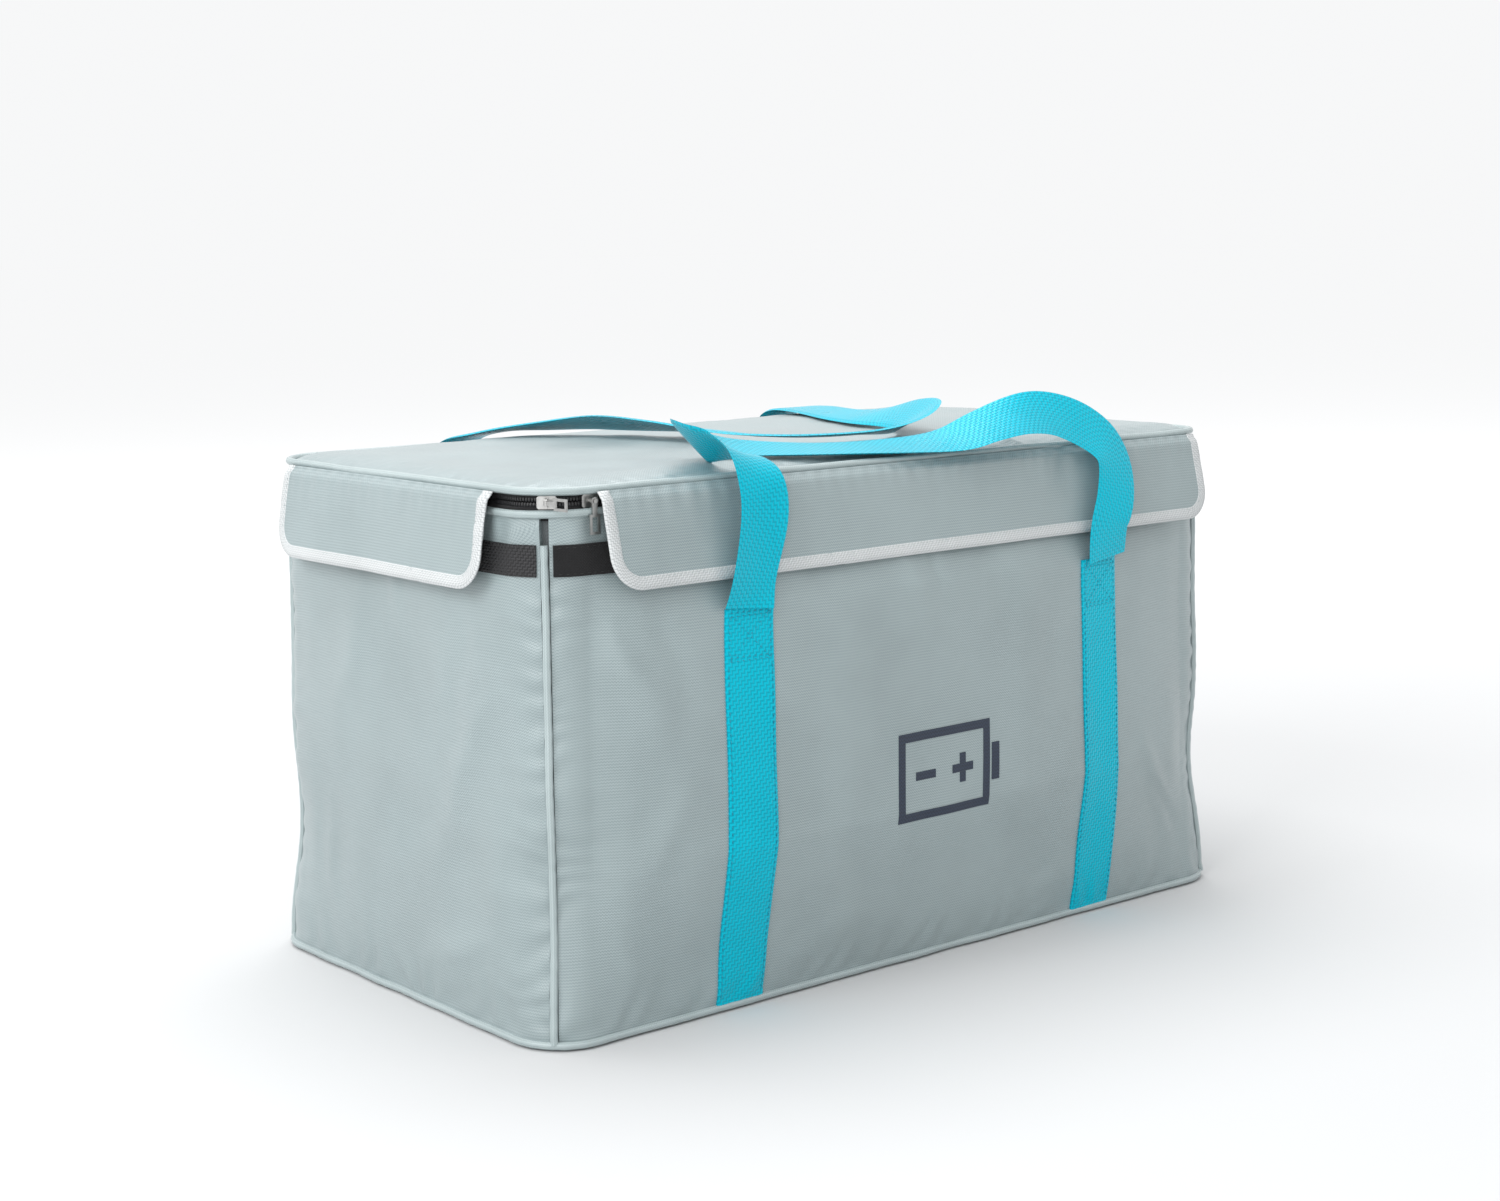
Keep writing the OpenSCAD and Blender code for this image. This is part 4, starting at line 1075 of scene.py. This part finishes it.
# Each row: x, y and z of the webbing's middle line, then the direction of its width.
FRONT_ROUTE = np.array([
    (-STRAP_MID, -ROOT_Y, STRAP_TOP, -1, 0.06, 0),
    (-STRAP_MID + 2, -ROOT_Y - 3, STRAP_TOP + 20, -1, -0.1, 0),
    (-STRAP_MID + 9, -ROOT_Y - 5, STRAP_TOP + 56, -1, 0, 0),
    (-STRAP_MID + 9, -ROOT_Y - 2, LID_Z - 7, -1, -0.05, 0),
    (-STRAP_MID + 6, -ROOT_Y + 9, LID_Z + 7, -0.94, -0.2, 0.2),
    (-STRAP_MID, -ROOT_Y + 24, LID_Z + 12, -0.8, -0.1, 0.5),
    (-STRAP_MID - 5, -ROOT_Y + 39, LID_Z + 14, -0.72, 0.08, 0.66),
    (-STRAP_MID - 1, -ROOT_Y + 55, LID_Z + 14, -0.5, 0.4, 0.72),
    (-STRAP_MID + 15, -ROOT_Y + 65, LID_Z + 11.5, -0.15, 0.8, 0.57),
    (-112, -ROOT_Y + 64, LID_Z + 5.5, 0, 0.97, 0.23),
    (-60, -ROOT_Y + 46, LID_Z + 2.5, 0.1, 0.97, 0.12),
    (-5, -ROOT_Y + 33, LID_Z + 1.5, 0, 0.98, 0.16),
    (34, -ROOT_Y + 24, LID_Z + 3.5, 0, 0.95, 0.26),
    (62, -ROOT_Y + 20, LID_Z + 11, 0.08, 0.88, 0.42),
    (90, -ROOT_Y + 18, LID_Z + 16.5, 0.25, 0.75, 0.58),
    (118, -ROOT_Y + 17, LID_Z + 17, 0.3, 0.6, 0.75),
    (143, -ROOT_Y + 13, LID_Z + 10, 0.4, 0.45, 0.8),
    (162, -ROOT_Y + 8, LID_Z - 1, 0.66, 0.35, 0.64),
    (170, -ROOT_Y + 3, LID_Z - 13, 0.88, 0.25, 0.35),
    (171, -ROOT_Y - 1, LID_Z - 28, 1, 0.1, 0.1),
    (167, -ROOT_Y - 4, LID_Z - 46, 1, 0, 0),
    (161, -ROOT_Y - 4, LID_Z - 63, 1, 0, 0),
    (STRAP_MID, -ROOT_Y, STRAP_TOP, 1, 0.06, 0),
], float)
BACK_ROUTE = np.array([
    (-STRAP_MID, ROOT_Y, STRAP_TOP, -1, -0.06, 0),
    (-STRAP_MID + 3, WALL_Y + 4, STRAP_TOP + 28, -1, 0, 0),
    (-STRAP_MID + 12, WALL_Y + 2, STRAP_TOP + 58, -1, -0.05, 0),
    (-STRAP_MID + 22, WALL_Y - 8, LID_Z - 6, -1, -0.15, 0),
    (-STRAP_MID + 36, WALL_Y - 30, LID_Z + 2.5, -0.9, -0.4, 0.05),
    (-STRAP_MID + 56, WALL_Y - 62, LID_Z + 7, -0.75, -0.6, 0.2),
    (-STRAP_MID + 82, WALL_Y - 97, LID_Z + 10.5, -0.65, -0.7, 0.32),
    (-STRAP_MID + 103, WALL_Y - 145, LID_Z + 9, -0.85, -0.4, 0.25),
    (-STRAP_MID + 117, WALL_Y - 190, LID_Z + 6.5, -0.9, -0.35, 0.12),
    (-46, WALL_Y - 226, LID_Z + 6, -0.8, -0.6, 0.1),
    (-28, WALL_Y - 262, LID_Z + 6, -0.5, -0.85, 0.1),
    (10, WALL_Y - 282, LID_Z + 7, -0.05, -1, 0.15),
    (50, WALL_Y - 280, LID_Z + 10, 0.15, -0.9, 0.34),
    (80, WALL_Y - 262, LID_Z + 14, 0.5, -0.65, 0.52),
    (96, WALL_Y - 230, LID_Z + 13.5, 0.8, -0.25, 0.5),
    (106, WALL_Y - 186, LID_Z + 9, 0.95, -0.05, 0.25),
    (125, WALL_Y - 130, LID_Z + 6, 1, -0.1, 0.1),
    (147, WALL_Y - 70, LID_Z + 5.5, 1, -0.2, 0.05),
    (158, WALL_Y - 30, LID_Z + 3, 1, -0.1, 0),
    (163, WALL_Y - 8, LID_Z - 6, 1, 0, 0),
    (166, WALL_Y + 2, STRAP_TOP + 58, 1, 0, 0),
    (166, WALL_Y + 4, STRAP_TOP + 28, 1, 0, 0),
    (STRAP_MID, ROOT_Y, STRAP_TOP, 1, -0.06, 0),
], float)


def curve(rows, steps):
    """Catmull-Rom curve: between two points, a cubic whose slope at each is set by its neighbours."""
    padded_rows = np.concatenate([rows[:1], rows, rows[-1:]])
    t = np.linspace(0, 1, steps, endpoint=False)[:, None, None]
    a, b, c, d = (padded_rows[None, k:len(rows) - 1 + k] for k in range(4))
    square, cube = 2 * a - 5 * b + 4 * c - d, 3 * b - a - 3 * c + d
    points = 0.5 * (2 * b + (c - a) * t + square * t ** 2 + cube * t ** 3)
    return np.concatenate([points.transpose(1, 0, 2).reshape(-1, rows.shape[1]), rows[-1:]])


def handle(name, rows, node):
    """Webbing along a route, carried by its handle's body."""
    line = curve(rows, 12)
    for _ in range(3):
        line[1:-1] = (line[:-2] + 2 * line[1:-1] + line[2:]) / 4
    path, wide = line[:, :3], line[:, 3:]
    ahead = unit(np.gradient(path, axis=0))
    wide = unit(wide - (wide * ahead).sum(1, keepdims=True) * ahead)
    normal = np.cross(ahead, wide)
    run = run_along(path)
    across = np.concatenate([np.linspace(-1, 1, 17), np.linspace(1, -1, 17)[1:-1]])
    thick = np.concatenate([np.full(17, 0.5), np.full(15, -0.5)]) * web_lift(across)
    cup = 1.4 * ripple(run, 0 * run, 5, 160)[:, None] * (across ** 2 - 0.4)[None]
    offset = across * STRAP_W / 2
    middle = path[:, None] + wide[:, None] * offset[None, :, None]
    points = middle + normal[:, None] * (thick + cup)[..., None]
    uv = np.stack(np.broadcast_arrays(offset[None], run[:, None]), 2) * MM
    piece = sleeve(name, points[:, ::-1], uv[:, ::-1], turquoise, node, [node], 70)
    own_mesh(piece)
    print(name, "length", round(float(run[-1])), "mm, top", round(float(points[..., 2].max())), "mm")


handle("front_handle_webbing", FRONT_ROUTE, "front_handle")
handle("back_handle_webbing", BACK_ROUTE, "back_handle")
